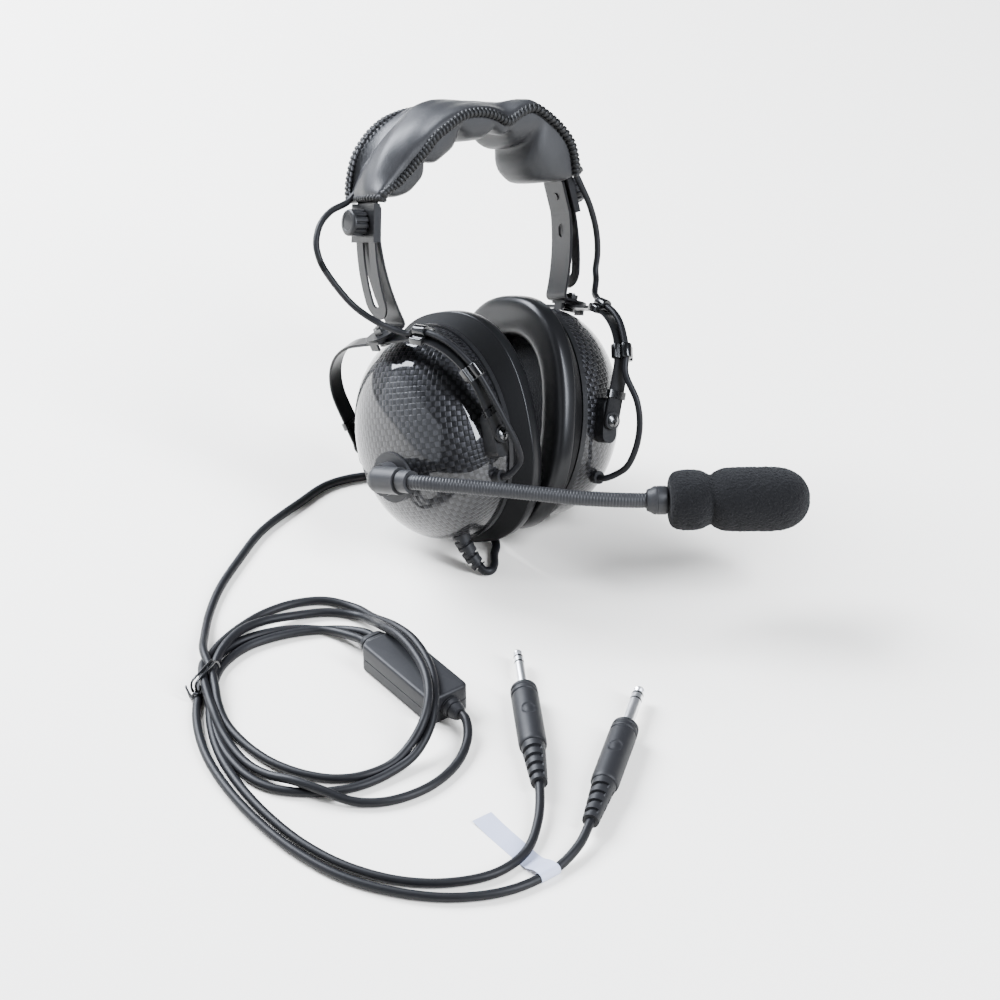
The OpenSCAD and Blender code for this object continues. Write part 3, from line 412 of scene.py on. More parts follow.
def flow(points, step):
    """A smooth line through points: cubic pieces whose end slopes are the points' own
    gradient over the square root of the chords, spaced out evenly."""
    p = np.asarray(points, float)
    chord = np.sqrt(np.linalg.norm(np.diff(p, axis=0), axis=1))
    s = np.concatenate([[0], np.cumsum(chord)])
    slope = np.gradient(p, s, axis=0)
    t, h = np.linspace(0, 1, 24, endpoint=False)[None, :, None], np.diff(s)[:, None, None]
    fine = cubic(t, p[:-1, None], p[1:, None], slope[:-1, None] * h, slope[1:, None] * h)
    return even(np.vstack([fine.reshape(-1, p.shape[1]), p[-1:]]), step)


def length(line):
    """The whole way along a line."""
    return float(np.linalg.norm(np.diff(line, axis=0), axis=1).sum())


def unit(v):
    """The same direction with length 1."""
    return v / np.linalg.norm(v, axis=-1, keepdims=True)


def disc(radii, sides):
    """Round sections: for each radius, points at equal angles, first and last the same."""
    a = np.linspace(0, 2 * np.pi, sides + 1)
    r = np.atleast_1d(radii)[:, None, None]
    return r * np.stack([np.cos(a), np.sin(a)], -1)[None]


def slab(width, thick, corner, k=3):
    """A rectangle with round corners, first point repeated at its end."""
    q = np.linspace(0, np.pi / 2, k + 1)
    arc = np.stack([np.cos(q), np.sin(q)], -1) * corner
    w, t = width / 2 - corner, thick / 2 - corner
    turns = [(1, 1, w, t), (-1, 1, -w, t), (-1, -1, -w, -t), (1, -1, w, -t)]
    out = []
    for i, (sx, sy, cx, cy) in enumerate(turns):
        bend = arc * (sx, sy) + (cx, cy)
        out.append(bend if i % 2 == 0 else bend[::-1])
    ring = np.concatenate(out)
    return np.vstack([ring, ring[:1]])


def pointed(rows):
    """Rows whose two ends are closed, each by a fan about the middle of its last row."""
    low, high = (rows[:1] * 0 + row[:-1].mean(0) for row in (rows[0], rows[-1]))
    return np.concatenate([low, rows, high])


def sweep(line, section, up=(0, 0, 1), closed=False):
    """A section carried along a line: across is the cross product of the tangent and
    up, lift the cross product of across and the tangent. An open line gets pointed ends,
    a closed one runs into its own start."""
    line = np.asarray(line, float)
    if closed:
        t = unit(np.roll(line, -1, 0) - np.roll(line, 1, 0))
    else:
        t = unit(np.gradient(line, axis=0))
    across = unit(np.cross(t, np.asarray(up, float)))
    lift = np.cross(across, t)
    rows = (line[:, None] + section[..., 0:1] * across[:, None]
            + section[..., 1:2] * lift[:, None])
    far = travelled(line)
    if closed:
        rows = np.concatenate([rows, rows[:1]])
        far = np.append(far, far[-1] + np.linalg.norm(line[0] - line[-1]))
    else:
        rows = pointed(rows)
        far = np.concatenate([far[:1], far, far[-1:]])
    uv = np.stack(np.broadcast_arrays(far[:, None] / 10,
                                      np.linspace(0, 1, rows.shape[1])[None]), -1)
    return rows, uv


def rounds(z, r, a):
    """Rows of points about z: one row at each height z, at angles a and radii r."""
    return np.stack([r * np.cos(a), r * np.sin(a),
                     np.broadcast_to(z[:, None], (len(z), len(a)))], -1)


def lathe(profile, sides):
    """A profile of (height, radius) turned about z; ends at radius 0 are closed."""
    z, r = np.asarray(profile, float).T
    return rounds(z, r[:, None], np.linspace(0, 2 * np.pi, sides + 1))


def piece(name, grids, where, finish, body=None, instead_of=(), sharp=38):
    """A mesh from grids of points in mm in the frame where: neighbours on a grid make a
    face, points that fall together are merged, and faces are turned outwards."""
    points, faces, pairs, base = [], [], [], 0
    for grid in grids:
        rows, uv = grid if isinstance(grid, tuple) else (grid, None)
        m, n = rows.shape[:2]
        if uv is None:
            uv = np.stack(np.meshgrid(np.linspace(0, 1, m), np.linspace(0, 1, n),
                                      indexing="ij"), -1)
        i = base + np.arange(m * n).reshape(m, n)
        faces.append(np.stack([i[:-1, :-1], i[:-1, 1:], i[1:, 1:], i[1:, :-1]], -1)
                     .reshape(-1, 4))
        points.append(rows.reshape(-1, 3))
        pairs.append(uv.reshape(-1, 2))
        base += m * n
    points, faces = np.concatenate(points), np.concatenate(faces)
    world = placed(points, where) * MM
    mesh = bpy.data.meshes.new(name)
    mesh.from_pydata(world.tolist(), [], faces.tolist())
    mesh.uv_layers.new(name="UVMap").data.foreach_set(
        "uv", np.concatenate(pairs)[faces.ravel()].astype(np.float32).ravel())
    tidy(mesh, sharp)
    return put(name, mesh, finish, body, instead_of)


def tidy(mesh, sharp):
    """Merges points that fall together, turns faces outwards and smooths between them,
    but not where they meet at more than sharp degrees."""
    bm = bmesh.new()
    bm.from_mesh(mesh)
    bmesh.ops.remove_doubles(bm, verts=bm.verts, dist=3e-6)
    bmesh.ops.recalc_face_normals(bm, faces=bm.faces)
    bm.to_mesh(mesh)
    bm.free()
    mesh.shade_smooth()
    mesh.set_sharp_from_angle(angle=math.radians(sharp))


def put(name, mesh, finish, body, instead_of):
    """Makes the mesh a piece: its finish, its body, the nodes it stands for."""
    mesh.materials.append(finish)
    made = bpy.data.objects.new(name, mesh)
    bpy.context.scene.collection.objects.link(made)
    if body:
        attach(made, body)
    if instead_of:
        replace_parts(made, *instead_of)
    return made


# ---------------------------------------------------------------- cords on the table


MAIN_PATH = [
    (-38.4, -39.8, 4.6), (-37.2, -42.6, 2.9), (-34, -43.6, 2.5), (-29.5, -40.5, 2.5),
    (-24, -33.5, 2.5), (-18, -27.5, 2.5), (-13.4, -19, 2.5), (-12, -7, 2.5),
    (-12, 8, 2.5), (-12, 24, 2.5), (-13, 42, 2.5), (-19, 59, 2.5), (-33, 71, 2.5),
    (-54, 77, 2.5), (-77, 72, 2.5), (-109, 62, 2.5), (-134, 47, 2.5), (-157, 31, 2.5),
    (-174, 15, 2.5), (-187, -1, 4.5), (-196, -14, 7.2), (-202.9, -32, 7.4)]
TURN_ONE = [
    (-208, -43, 7.0), (-213, -53, 5.6), (-217, -66, 3.2), (-218.5, -83, 2.5),
    (-217, -101, 2.5), (-213, -114, 2.5), (-207, -125, 2.5), (-199, -134, 2.5),
    (-188, -140, 2.5), (-172, -142.5, 3.5), (-159, -141, 8.5), (-148, -137, 15.5),
    (-139, -129, 20.6), (-131, -116, 22.6), (-125, -99, 22.6), (-122, -82, 22.0),
    (-120, -66, 17.5), (-115, -48, 8.5), (-114, -33, 3.0), (-124, -21, 2.5),
    (-140, -13.5, 3.2), (-156, -10.5, 5.4), (-170, -11.5, 7.2), (-182, -15.5, 7.2),
    (-194, -23, 6.0), (-205.1, -34, 2.6)]
TURN_TWO = [
    (-212, -43, 2.5), (-219, -56, 2.5), (-226, -72, 2.5), (-230.5, -90, 2.5),
    (-231, -108, 2.5), (-227, -121, 2.5), (-219, -131, 2.5), (-208, -139.5, 2.5),
    (-193, -145.5, 2.5), (-176, -147, 3.0), (-160, -145.5, 5.4), (-146, -139.5, 12),
    (-137, -131, 17.4), (-127.5, -118, 18.5), (-119.5, -101, 18.5), (-115.2, -83, 18.4),
    (-113.5, -66, 15.2), (-111.5, -44, 7.0), (-110.5, -27, 2.6), (-119, -12, 2.5),
    (-133, -4, 2.5), (-150, -1.5, 2.5), (-167, -4, 2.5), (-182, -9, 2.5),
    (-194, -16.5, 3.6), (-201.5, -22, 5.6), (-207.6, -31.2, 7.2)]
THIRD_PASS = [
    (-214, -45, 7.4), (-219, -58, 6.8), (-223, -72, 4.0), (-225.6, -88, 2.5),
    (-226, -101, 2.8), (-224, -114, 4.6), (-219, -127, 7.2), (-212, -140, 6.4),
    (-203, -153, 3.2), (-192, -161.5, 2.5), (-178, -166, 2.5), (-162, -166, 2.5),
    (-145, -160.5, 3), (-131.5, -150.5, 5), (-125.6, -141, 8), (-125, -133, 8)]
PHONES_PATH = [
    (-127.8, -63, 8), (-128, -58, 8), (-128.5, -50, 6), (-134, -33, 2.5), (-152, -19, 2.5),
    (-175, -14, 2.5), (-197, -21, 2.5), (-213, -36, 2.5), (-227, -55, 2.5),
    (-238, -80, 2.5), (-244, -108, 2.5), (-246, -138, 2.5), (-244, -167, 2.5),
    (-237, -194, 2.5), (-224, -217, 2.5), (-206, -236, 2.5), (-183, -248, 2.5),
    (-158, -250, 2.5), (-140, -246, 4.8), (-126, -238, 7.1), (-106, -223, 7.1)]
MIC_PATH = [
    (-121.8, -63, 8), (-122, -58, 8), (-122.5, -50, 6), (-128, -37, 2.5), (-148, -25, 2.5),
    (-173, -20, 2.5), (-193, -26, 2.5), (-208, -40, 2.5), (-221, -58, 2.5),
    (-232, -82, 2.5), (-238, -109, 2.5), (-240, -138, 2.5), (-238, -165, 2.5),
    (-231, -190, 2.5), (-218, -212, 2.5), (-201, -227, 2.5), (-180, -235, 2.5),
    (-160, -232, 2.5), (-143, -220, 4.8), (-127.4, -201.5, 7.1), (-115.3, -182.5, 7.1)]
CORD_D, CROSS_D = 4.6, 3.5


def lay_cord(name, points, nodes):
    """A cord of round section along a smooth line. It rides on the mic cup."""
    line = flow(placed(points, TABLE), 1.3)
    rows = sweep(line, disc(CORD_D / 2, 14))
    made = piece(name, [rows], np.eye(4), CORD, "mic_cup", nodes)
    leaves = placed(points[:1], TABLE)[0]
    [x * MM for x in leaves]


# ---------------------------------------------------------------- cups

DOME_DEEP, DOME_WIDE, DOME_TALL, DOME_WALL, DOME_POWER = 42, 46.5, 57, 1.8, 0.83
DOME_ROWS, DOME_SIDES = 56, 145
TOW, TOW_START = 2.8, 40
SEAL_WIDE, SEAL_TALL, SEAL_BACK, TABLE_GAP = 42.5, 53, -3, 0.05


def dome(name, where, body, node):
    """Carbon dome: depth 42 times the sine and half axes 46.5 by 57 times the cosine,
    each to the power 0.83, of an angle from rim to top; the inside is the same, 1.8 in.
    The cloth's coordinates are the way from the top, turned with the angle round."""
    rise = np.radians(90 * (1 - np.linspace(0, 1, DOME_ROWS) ** 1.15))
    a = np.linspace(0, 2 * np.pi, DOME_SIDES)

    def skin(wall):
        g, d = np.cos(rise) ** DOME_POWER, np.sin(rise) ** DOME_POWER
        g = np.where(rise > 1.5707, 0, g)
        return np.stack([
            np.broadcast_to(((DOME_DEEP - wall) * d)[:, None], (DOME_ROWS, DOME_SIDES)),
            (DOME_WIDE - wall) * g[:, None] * np.cos(a),
            (DOME_TALL - wall) * g[:, None] * np.sin(a)], -1)

    outer, inner = skin(0.0), skin(DOME_WALL)
    mean_half = 51.7
    far = np.concatenate([[0], np.cumsum(np.hypot(
        np.diff(DOME_DEEP * np.sin(rise) ** DOME_POWER),
        np.diff(mean_half * np.cos(rise) ** DOME_POWER)))])
    cloth = far[:, None, None] / TOW * np.stack([np.cos(a), np.sin(a)], -1)[None]
    rim = np.stack([outer[-1], outer[-1] * (1, 0.999, 0.999) - (0.5, 0, 0),
                    inner[-1] - (0.5, 0, 0), inner[-1]])
    return piece(name, [(outer, cloth + TOW_START), rim, inner], where, CARBON, body, [node])


SEAL_SKIRT = [(4.1, 0), (5.3, 1.6), (7.0, 4.2), (8.5, 6.7), (9.45, 8.5)]
SEAL_FACE = [(9.72, 9.1), (9.8, 11.2), (9.6, 13.8), (8.9, 16.1), (7.2, 17.7), (4.4, 18.35),
             (0, 18.45), (-4.5, 18.3), (-8, 17.4), (-10.6, 15.2), (-12, 11.6), (-12.3, 7),
             (-11.8, 2.6), (-10.6, 0)]


def ear_seal(name, where, body, node, seed):
    """Ear seal: a stuffed ring. Its section is a skirt and a face that meet in a pinched
    edge line, carried round an oval of half axes 42.5 by 53 whose power grows from 2 at
    the dome to 2.4 at the edge line. The face's skin is drawn into shallow puckers towards
    the opening, and swells and sinks slowly round the ring. It is flat where it would
    reach the table."""
    a = np.linspace(0, 2 * np.pi, 241)[:, None]
    skirt, face = flow(SEAL_SKIRT, 0.45), flow(SEAL_FACE, 0.75)
    crease = np.array([[9.35, 8.8]])
    back = np.linspace(face[-1], skirt[0], 8)[1:]
    sec = np.concatenate([skirt, crease, face, back])
    share = np.concatenate([
        np.linspace(0, 0.2, len(skirt)), [0.21], np.linspace(0.22, 0.9, len(face)),
        np.linspace(0.9, 1, 7)])
    rng = np.random.default_rng(seed)
    phase = rng.uniform(0, 2 * np.pi, 6)
    slow = sum(np.sin((k + 2) * a + phase[k]) for k in range(4)) / 4
    inner = np.clip((share - 0.52) / 0.22, 0, 1) * np.clip((0.92 - share) / 0.1, 0, 1)
    pucker = np.sin(34 * a + phase[4] + 1.3 * np.sin(5 * a)) * np.clip(
        0.4 + np.sin(3 * a + phase[5]), 0, 1)
    face_only = np.clip((share - 0.23) / 0.2, 0, 1) * np.clip((0.9 - share) / 0.1, 0, 1)
    r = sec[:, 0] - 0.16 * pucker * inner + 0.14 * slow * face_only
    deep = sec[:, 1] * np.ones_like(a) - 0.22 * (1 + slow) * face_only
    bend = 1 - np.clip(sec[:, 1] / 8.6, 0, 1) / 6
    wide, tall = (np.sign(w) * np.abs(w) ** bend for w in (np.cos(a), np.sin(a)))
    rows = np.stack([SEAL_BACK - deep, (SEAL_WIDE + r) * wide, (SEAL_TALL + r) * tall], -1)
    uv = np.stack(np.broadcast_arrays(a * 8, share[None]), -1)
    made = piece(name, [(rows, uv)], where, SEAL, body, [node], sharp=60)
    co = np.zeros(len(made.data.vertices) * 3)
    made.data.vertices.foreach_get("co", co)
    co[2::3] = np.maximum(co[2::3], TABLE_GAP * MM)
    made.data.vertices.foreach_set("co", co)
    made.data.update()
    return made


# ---------------------------------------------------------------- straps


def slotted(line, outward, across, half, gap, thick):
    """A strap with a lengthwise slot: two mirrored halves, each a flat section from the
    slot's half width out to the strap's and back underneath, and the slot's inner wall
    where the slot is open."""
    grids = []
    c = min(0.35, thick * 0.3)
    t = thick / 2
    for side in (-1, 1):
        g, w = gap[:, None], half[:, None]
        room = np.minimum(c, w * 0.5)
        x = np.concatenate([g, g + (w - g) * 0.5, np.maximum(w - room, g), w, w,
                            np.maximum(w - room, g), g + (w - g) * 0.5, g], 1)
        z = np.array([-t, -t, -t, -t + c, t - c, t, t, t])
        rows = (line[:, None] + side * x[..., None] * across
                + z[None, :, None] * outward[:, None])
        grids.append(rows)
        open_ = np.flatnonzero(gap > 1e-6)
        if len(open_):
            lo, hi = max(open_[0] - 1, 0), min(open_[-1] + 2, len(gap))
            grids.append(rows[lo:hi, [7, 0]])
    return grids


def band_at(a, o):
    """The headband's middle line: a is the angle of its outward normal, o the way out."""
    b = np.where(a > 90, 180 - a, a)
    centre_x = np.where(b < STRAP_TOP, STRAP_X, np.where(b < SHOULDER_TOP, SHOULDER_X, 0))
    centre_z = np.where(b < STRAP_TOP, STRAP_Z, np.where(b < SHOULDER_TOP, SHOULDER_Z, CROWN_Z))
    r = np.where(b < STRAP_TOP, STRAP_R, np.where(b < SHOULDER_TOP, SHOULDER_R, CROWN_R)) + o
    x = (centre_x + r * cosd(b)) * np.where(a > 90, -1, 1)
    return x, centre_z + r * sind(b)


def dense(low, high, n, start=True, end=True):
    """Places from low to high, closer together towards the ends that are named."""
    t = np.linspace(0, 1, n)
    if start and end:
        t = (1 - np.cos(np.pi * t)) / 2
    elif start:
        t = 1 - np.cos(np.pi / 2 * t)
    elif end:
        t = np.sin(np.pi / 2 * t)
    return low + (high - low) * t


def headband():
    """Spring strap: 19 by 1.2, with round ends and a slot 5.8 wide in each leg. Within 9.5
    of an end, half its width is the height of a circle of radius 9.5."""
    deg = 180 / np.pi / STRAP_R
    low, slot_a, slot_b = STRAP_LOW, STRAP_LOW + 3.2, KNOB_A + 3.4
    a = np.unique(np.round(np.concatenate([
        dense(low, low + STRAP_HALF * deg, 16, True, False),
        dense(low + STRAP_HALF * deg, slot_a, 5),
        dense(slot_a, slot_b, 60), dense(slot_b, 14, 6), np.linspace(14, 90, 50)]), 4))
    a = np.concatenate([a, 180 - a[-2::-1]])
    b = np.where(a > 90, 180 - a, a)
    x, z = band_at(a, 0)
    line = np.stack([x, 0 * x, z], 1)
    x1, z1 = band_at(a, 1)
    outward = np.stack([x1 - x, 0 * x, z1 - z], 1)
    end = np.clip((b - low) / deg, 0, STRAP_HALF)
    half = np.sqrt(np.maximum(STRAP_HALF**2 - (STRAP_HALF - end) ** 2, 0))
    inside = np.minimum(b - slot_a, slot_b - b) / deg
    gap = np.where(inside > 0, np.sqrt(np.maximum(
        SLOT_HALF**2 - (SLOT_HALF - np.clip(inside, 0, SLOT_HALF)) ** 2, 0)), 0)
    grids = slotted(line, outward, np.array([0, 1.0, 0]), half, gap, STRAP_T)
    return piece("headband_strap", grids, HOLD, STEEL, "headband", ["headband_spring"])


def slider(name, where, body, node):
    """Inner slider arm: flat behind the knob, bent along an arc of radius 122, then a foot
    whose end is round about its bolt. It has one small window, 7.5 by 4.2, with narrowed
    ends."""
    def by_foot(x, z):
        return (ARM_X + x * cosd(FOOT_A) + z * sind(FOOT_A),
                ARM_Z - x * sind(FOOT_A) + z * cosd(FOOT_A))

    top = (KNOB_X - ARM_OFF * cosd(KNOB_A) - ARM_FLAT * sind(KNOB_A),
           KNOB_Z - ARM_OFF * sind(KNOB_A) + ARM_FLAT * cosd(KNOB_A))
    arc = ARM_A - np.linspace(0, 1, 30) * (ARM_A + FOOT_A)
    bow = [(ARM_X + ARM_R * cosd(q), ARM_Z + ARM_R * sind(q)) for q in arc]
    knee = [by_foot(ARM_R, -FOOT_DROP + 1.4), by_foot(ARM_R + 0.4, -FOOT_DROP + 0.1),
            by_foot(ARM_R + 1.5, -FOOT_DROP - 0.75)]
    sole = [by_foot(ARM_R + BOLT_OUT, -FOOT_DROP - 0.75),
            by_foot(ARM_R + BOLT_OUT + 9, -FOOT_DROP - 0.75)]
    path = np.array([top, *bow, *knee, *sole])
    keep = even(path, 0.7)
    line = np.stack([keep[:, 0], 0 * keep[:, 0], keep[:, 1]], 1)
    t = unit(np.gradient(line, axis=0))
    outward = np.cross(np.array([0, 1.0, 0]), t)
    far = np.linspace(0, length(line), len(line))
    end = np.clip(far[-1] - far, 0, ARM_HALF)
    half = np.sqrt(np.maximum(ARM_HALF**2 - (ARM_HALF - end) ** 2, 0))
    half = np.minimum(half, ARM_HALF - 1.2 * np.clip(1 - far / 1.6, 0, 1) ** 2)
    inside = np.minimum(far - 24, 31.5 - far)
    gap = np.where(inside > 0, np.minimum(2.1, inside * 1.1 + 0.5), 0)
    lid = np.stack([line[0] + s * half[0] * np.array([0, 1.0, 0]) + q * outward[0] * ARM_T / 2
                    for s in (-1, 0, 1) for q in (-1, 1)]).reshape(3, 2, 3)
    return piece(name, [*slotted(line, outward, np.array([0, 1.0, 0]), half, gap, ARM_T), lid],
                 where, STEEL, body, [node])


def stirrup(name, where, body, node):
    """Flat stirrup: up from one pivot, round two corners of radius 34 and down to the
    other; its ends are round about the pivot screws."""
    y0, z0 = YOKE_HALF - YOKE_CORNER, -YOKE_TOP - YOKE_CORNER
    q = np.linspace(0, np.pi / 2, 40)
    leg = [(YOKE_HALF, z) for z in np.concatenate([
        -YOKE_DROP - STIRRUP_HALF * np.cos(np.linspace(0, np.pi / 2, 14)),
        np.linspace(-62, z0 - 1, 14)])]
    bend = [(y0 + YOKE_CORNER * math.cos(s), z0 + YOKE_CORNER * math.sin(s)) for s in q]
    side = np.array(leg + bend)
    path = np.vstack([side, [(0, -YOKE_TOP)], side[::-1] * (-1, 1)])
    line = np.stack([0 * path[:, 0], path[:, 0], path[:, 1]], 1)
    t = unit(np.gradient(line, axis=0))
    outward = np.cross(t, np.array([1.0, 0, 0]))
    drop = np.clip(-YOKE_DROP - path[:, 1], 0, STIRRUP_HALF)
    half = np.sqrt(np.maximum(STIRRUP_HALF**2 - drop**2, 0))
    return piece(name, slotted(line, outward, np.array([1.0, 0, 0]), half, 0 * half, 1.5),
                 where, STEEL, body, [node])


# ---------------------------------------------------------------- head pad

PAD_LOW = 17.6
PAD_ANGLES = np.linspace(PAD_LOW, 180 - PAD_LOW, 721)
PAD_FAR = np.concatenate([[0], np.cumsum(np.hypot(*np.diff(band_at(PAD_ANGLES, -2))))])
PAD_LENGTH = PAD_FAR[-1]


def ease(t):
    """From 0 to 1 with level ends: three squares less two cubes."""
    t = np.clip(t, 0, 1)
    return t * t * (3 - 2 * t)


PAD_FORM = np.array([
    # way along, then (across, out) of seven lines from the front edge to the rear one
    (0, -22, 0.5, -19, 3.6, -8, 5.0, 2, 4.8, 6, 4.4, 10, 4.0, 15.5, 0.8),
    (16, -24, 5.5, -20, 7.2, -8, 7.0, 3, 5.6, 7, 5.2, 12, 4.4, 17, 1.0),
    (34, -24.5, 6.5, -20, 8.6, -10, 9.6, 2, 7.8, 7, 7.0, 12, 5.6, 20, 1.6),
    (43, -24.5, 7.4, -20, 9.8, -10, 11.3, 2, 9.0, 8, 7.6, 13, 6.0, 22, 2.0),
    (49, -24, 2.1, -20, 5.6, -10, 7.6, 2, 7.1, 8, 6.4, 14, 5.2, 23, 2.0),
    (56, -24, -5.9, -21, -1.6, -11, 3.4, 2, 5.4, 8, 5.2, 14, 4.6, 24, 2.0),
    (66, -24, -2.3, -21, 0.8, -10, 3.5, 3, 4.9, 9, 4.9, 15, 4.5, 24, 2.4),
    (74, -24, -0.6, -21, 1.6, -10, 3.7, 4, 5.4, 9, 5.6, 15, 5.0, 24, 3.0),
    (85, -24, 0.2, -21, 2.2, -9, 4.8, 3, 7.4, 9, 7.2, 15, 6.3, 23, 4.2),
    (95, -24, -2.2, -21, 1.2, -9, 5.4, 3, 8.2, 9, 6.6, 13, 6.4, 22, 5.6),
    (107, -23.5, -3.6, -20.5, 0.2, -9, 5.2, 3, 5.9, 9, 2.4, 11, 3.2, 21, 7.0),
    (118, -20, -6.9, -18.5, -2.0, -9, 4.7, 3, 5.0, 9.5, 1.2, 11.5, 2.0, 20.5, 6.8),
    (128, -17, -7.6, -16, -2.5, -8, 4.3, 3, 4.8, 12, 0.6, 13.8, 1.3, 20.5, 6.2),
    (139, -15, -4.9, -14, -0.6, -6, 4.4, 5, 4.4, 15.5, 0.2, 16.8, 0.7, 20.5, 3.4),
    (148, -15, 2.6, -12, 4.2, -4, 4.8, 7, 3.6, 17, 0.8, 18.5, 1.0, 20, 1.5),
    (151, -13, 0.6, -10, 1.6, -4, 2.4, 5, 1.8, 13, 0.6, 15, 0.7, 17, 0.8)])
PAD_GRID = np.arange(-8, 159, 0.5)
BELL = np.exp(-(np.arange(-6, 6.5, 0.5) ** 2) / (2 * 2.0**2))
PAD_RAILS = np.stack([np.convolve(np.interp(PAD_GRID, PAD_FORM[:, 0], column),
                                  BELL / BELL.sum(), "same")
                      for column in PAD_FORM[:, 1:].T])


def pad_rails(far):
    """The seven lines of the cover, each as (across, out): the table's numbers, eased
    along the pad by a bell curve with a standard deviation of 2."""
    out = np.stack([np.interp(far, PAD_GRID[12:-12], rail[12:-12]) for rail in PAD_RAILS], -1)
    return out.reshape(*np.shape(far), 7, 2)


def over_band(far, y, o):
    """A point of the flat pad laid over the band: far along it, y across, o out of it."""
    a = np.interp(far, PAD_FAR, PAD_ANGLES)
    x, z = band_at(a, o)
    return np.stack([x, y, z], -1)


def pad_skin(far, fine=9):
    """The cover's skin across each place: cubic pieces through the seven lines. From 92 to
    108 along, the fifth line turns into a pressed-in crease: each side of it keeps its own
    slope. Two sine waves, one of them slow, ruffle the skin by 0.3."""
    p = pad_rails(far)
    slope = np.gradient(p, axis=1)
    left, right = slope.copy(), slope.copy()
    sharp = ease((far - 92) / 16)[:, None]
    left[:, 4] += sharp * (p[:, 4] - p[:, 3] - slope[:, 4])
    right[:, 4] += sharp * (p[:, 5] - p[:, 4] - slope[:, 4])
    t = np.linspace(0, 1, fine, endpoint=False)[None, None, :, None]
    skin = cubic(t, p[:, :-1, None], p[:, 1:, None], right[:, :-1, None], left[:, 1:, None])
    skin = np.concatenate([skin.reshape(len(p), -1, 2), p[:, -1:]], 1)
    y, far = skin[..., 0], far[:, None]
    skin[..., 1] += 0.3 * np.sin(far / 9 + 0.35 * y) * np.sin(far / 23 + 0.2 * y)
    return skin


def pad_cover():
    """Leather cover: its skin over the band, and an underside that turns in 3.5 below its
    edges and lies flat at -3.9 under the band."""
    far = dense(0, PAD_LENGTH, 260)
    skin = pad_skin(far)
    front, rear = skin[:, 0], skin[:, -1]
    rim = [(rear, 1.0, 1.2), (rear, 0.99, 2.6), (rear, 0.94, 3.5), None, None,
           (front, 0.94, 3.5), (front, 0.99, 2.6), (front, 1.0, 1.2), (front, 1.0, 0)]
    under = []
    for k, row in enumerate(rim):
        if row is None:
            flat = np.full(len(far), 9.0 if k == 3 else -9.0)
            under.append(np.stack([flat, np.full(len(far), -3.9)], -1))
        else:
            edge, share, drop = row
            under.append(np.stack([edge[:, 0] * share, edge[:, 1] - drop], -1))
    ring = np.concatenate([skin, np.stack(under, 1)], 1)
    rows = pointed(over_band(far[:, None], ring[..., 0], ring[..., 1]))
    return piece("head_pad_skin", [rows], HOLD, PAD_LEATHER, "headband", ["head_pad_cover"],
                 sharp=50)


def edge_line(step):
    """The cover's outline as a closed loop of (far, y, o), at even steps."""
    far = dense(0.4, PAD_LENGTH - 0.4, 300)
    skin = pad_skin(far)
    low, high = (np.column_stack([np.full(skin.shape[1], far[k]), skin[k]]) for k in (0, -1))
    loop = np.vstack([np.column_stack([far, skin[:, -1]]), high[-2:0:-1],
                      np.column_stack([far, skin[:, 0]])[::-1], low[1:-1]])
    return even(np.vstack([loop, loop[:1]]), step)[:-1]


def lacing():
    """Whip stitching: a flat lace wound tightly about the cover's edge, one turn every
    2.5, over a thick roll that lies 1.5 under the edge. The lace's middle is the edge line
    plus 2.0 times the cosine of the winding outwards, less 0.5, and 2.2 times its sine
    along the band's normal."""
    step, one_turn = 0.25, 2.5
    loop = edge_line(step)
    n = len(loop)
    turns = round(n * step / one_turn)
    ang = 2 * np.pi * turns * np.arange(n) / n
    tan = unit(np.roll(loop, -4, 0)[:, :2] - np.roll(loop, 4, 0)[:, :2])
    out = np.stack([tan[:, 1], -tan[:, 0]], 1)
    out *= np.sign((out * (loop[:, :2] - (PAD_LENGTH / 2, 0))).sum(1).mean())
    flat = loop[:, :2] + out * (2.0 * np.cos(ang)[:, None] - 0.5)
    level = loop[:, 2] - 1.5
    line = over_band(flat[:, 0], flat[:, 1], level + 2.2 * np.sin(ang))
    middle = loop[:, :2] - out * 0.6
    core = over_band(middle[:, 0], middle[:, 1], level)
    t = unit(np.roll(line, -1, 0) - np.roll(line, 1, 0))
    up = unit(line - core)
    across = unit(np.cross(t, up))
    lift = np.cross(across, t)
    sec = slab(2.15, 0.9, 0.42, 1)
    rows = line[:, None] + sec[:, 0:1] * across[:, None] + sec[:, 1:2] * lift[:, None]
    rows = np.concatenate([rows, rows[:1]])
    roll = sweep(core[::4], disc(2.0, 10), up=(0, 1, 0.3), closed=True)
    piece("rope_stitches", stitches(loop, out), HOLD, ROPE, "headband", sharp=70)
    return piece("edge_lacing", [rows, roll], HOLD, LACE, "headband", sharp=70)


def stitches(loop, out):
    """Two rows of short rope-like stitches, one above and one under the edge, one every
    2.75: each is a small rounded block laid aslant along the edge."""
    i = np.arange(0, len(loop) - 9, 11)
    grids = []
    for inward, down in ((3.3, 0.05), (1.9, -3.4)):
        for k in i:
            part = loop[k:k + 9:2]
            side = out[k:k + 9:2] * (inward + np.linspace(-0.35, 0.35, 5)[:, None])
            line = over_band(part[:, 0] - side[:, 0], part[:, 1] - side[:, 1],
                             part[:, 2] + down)
            grids.append(sweep(line, slab(1.2, 1.1, 0.4, 1), up=(0.2, 1, 0.1)))
    return grids


LOBE_ENDS = np.array([-0.022, 0.225, 0.345, 0.42, 0.59, 0.80, 1.0])
LOBE_DEEP = np.array([21.5, 13.5, 8.5, 13.0, 14.0, 12.5])
LOBE_HALF, LOBE_MARGIN, LOBE_TOP = 20.0, 3, -3.6


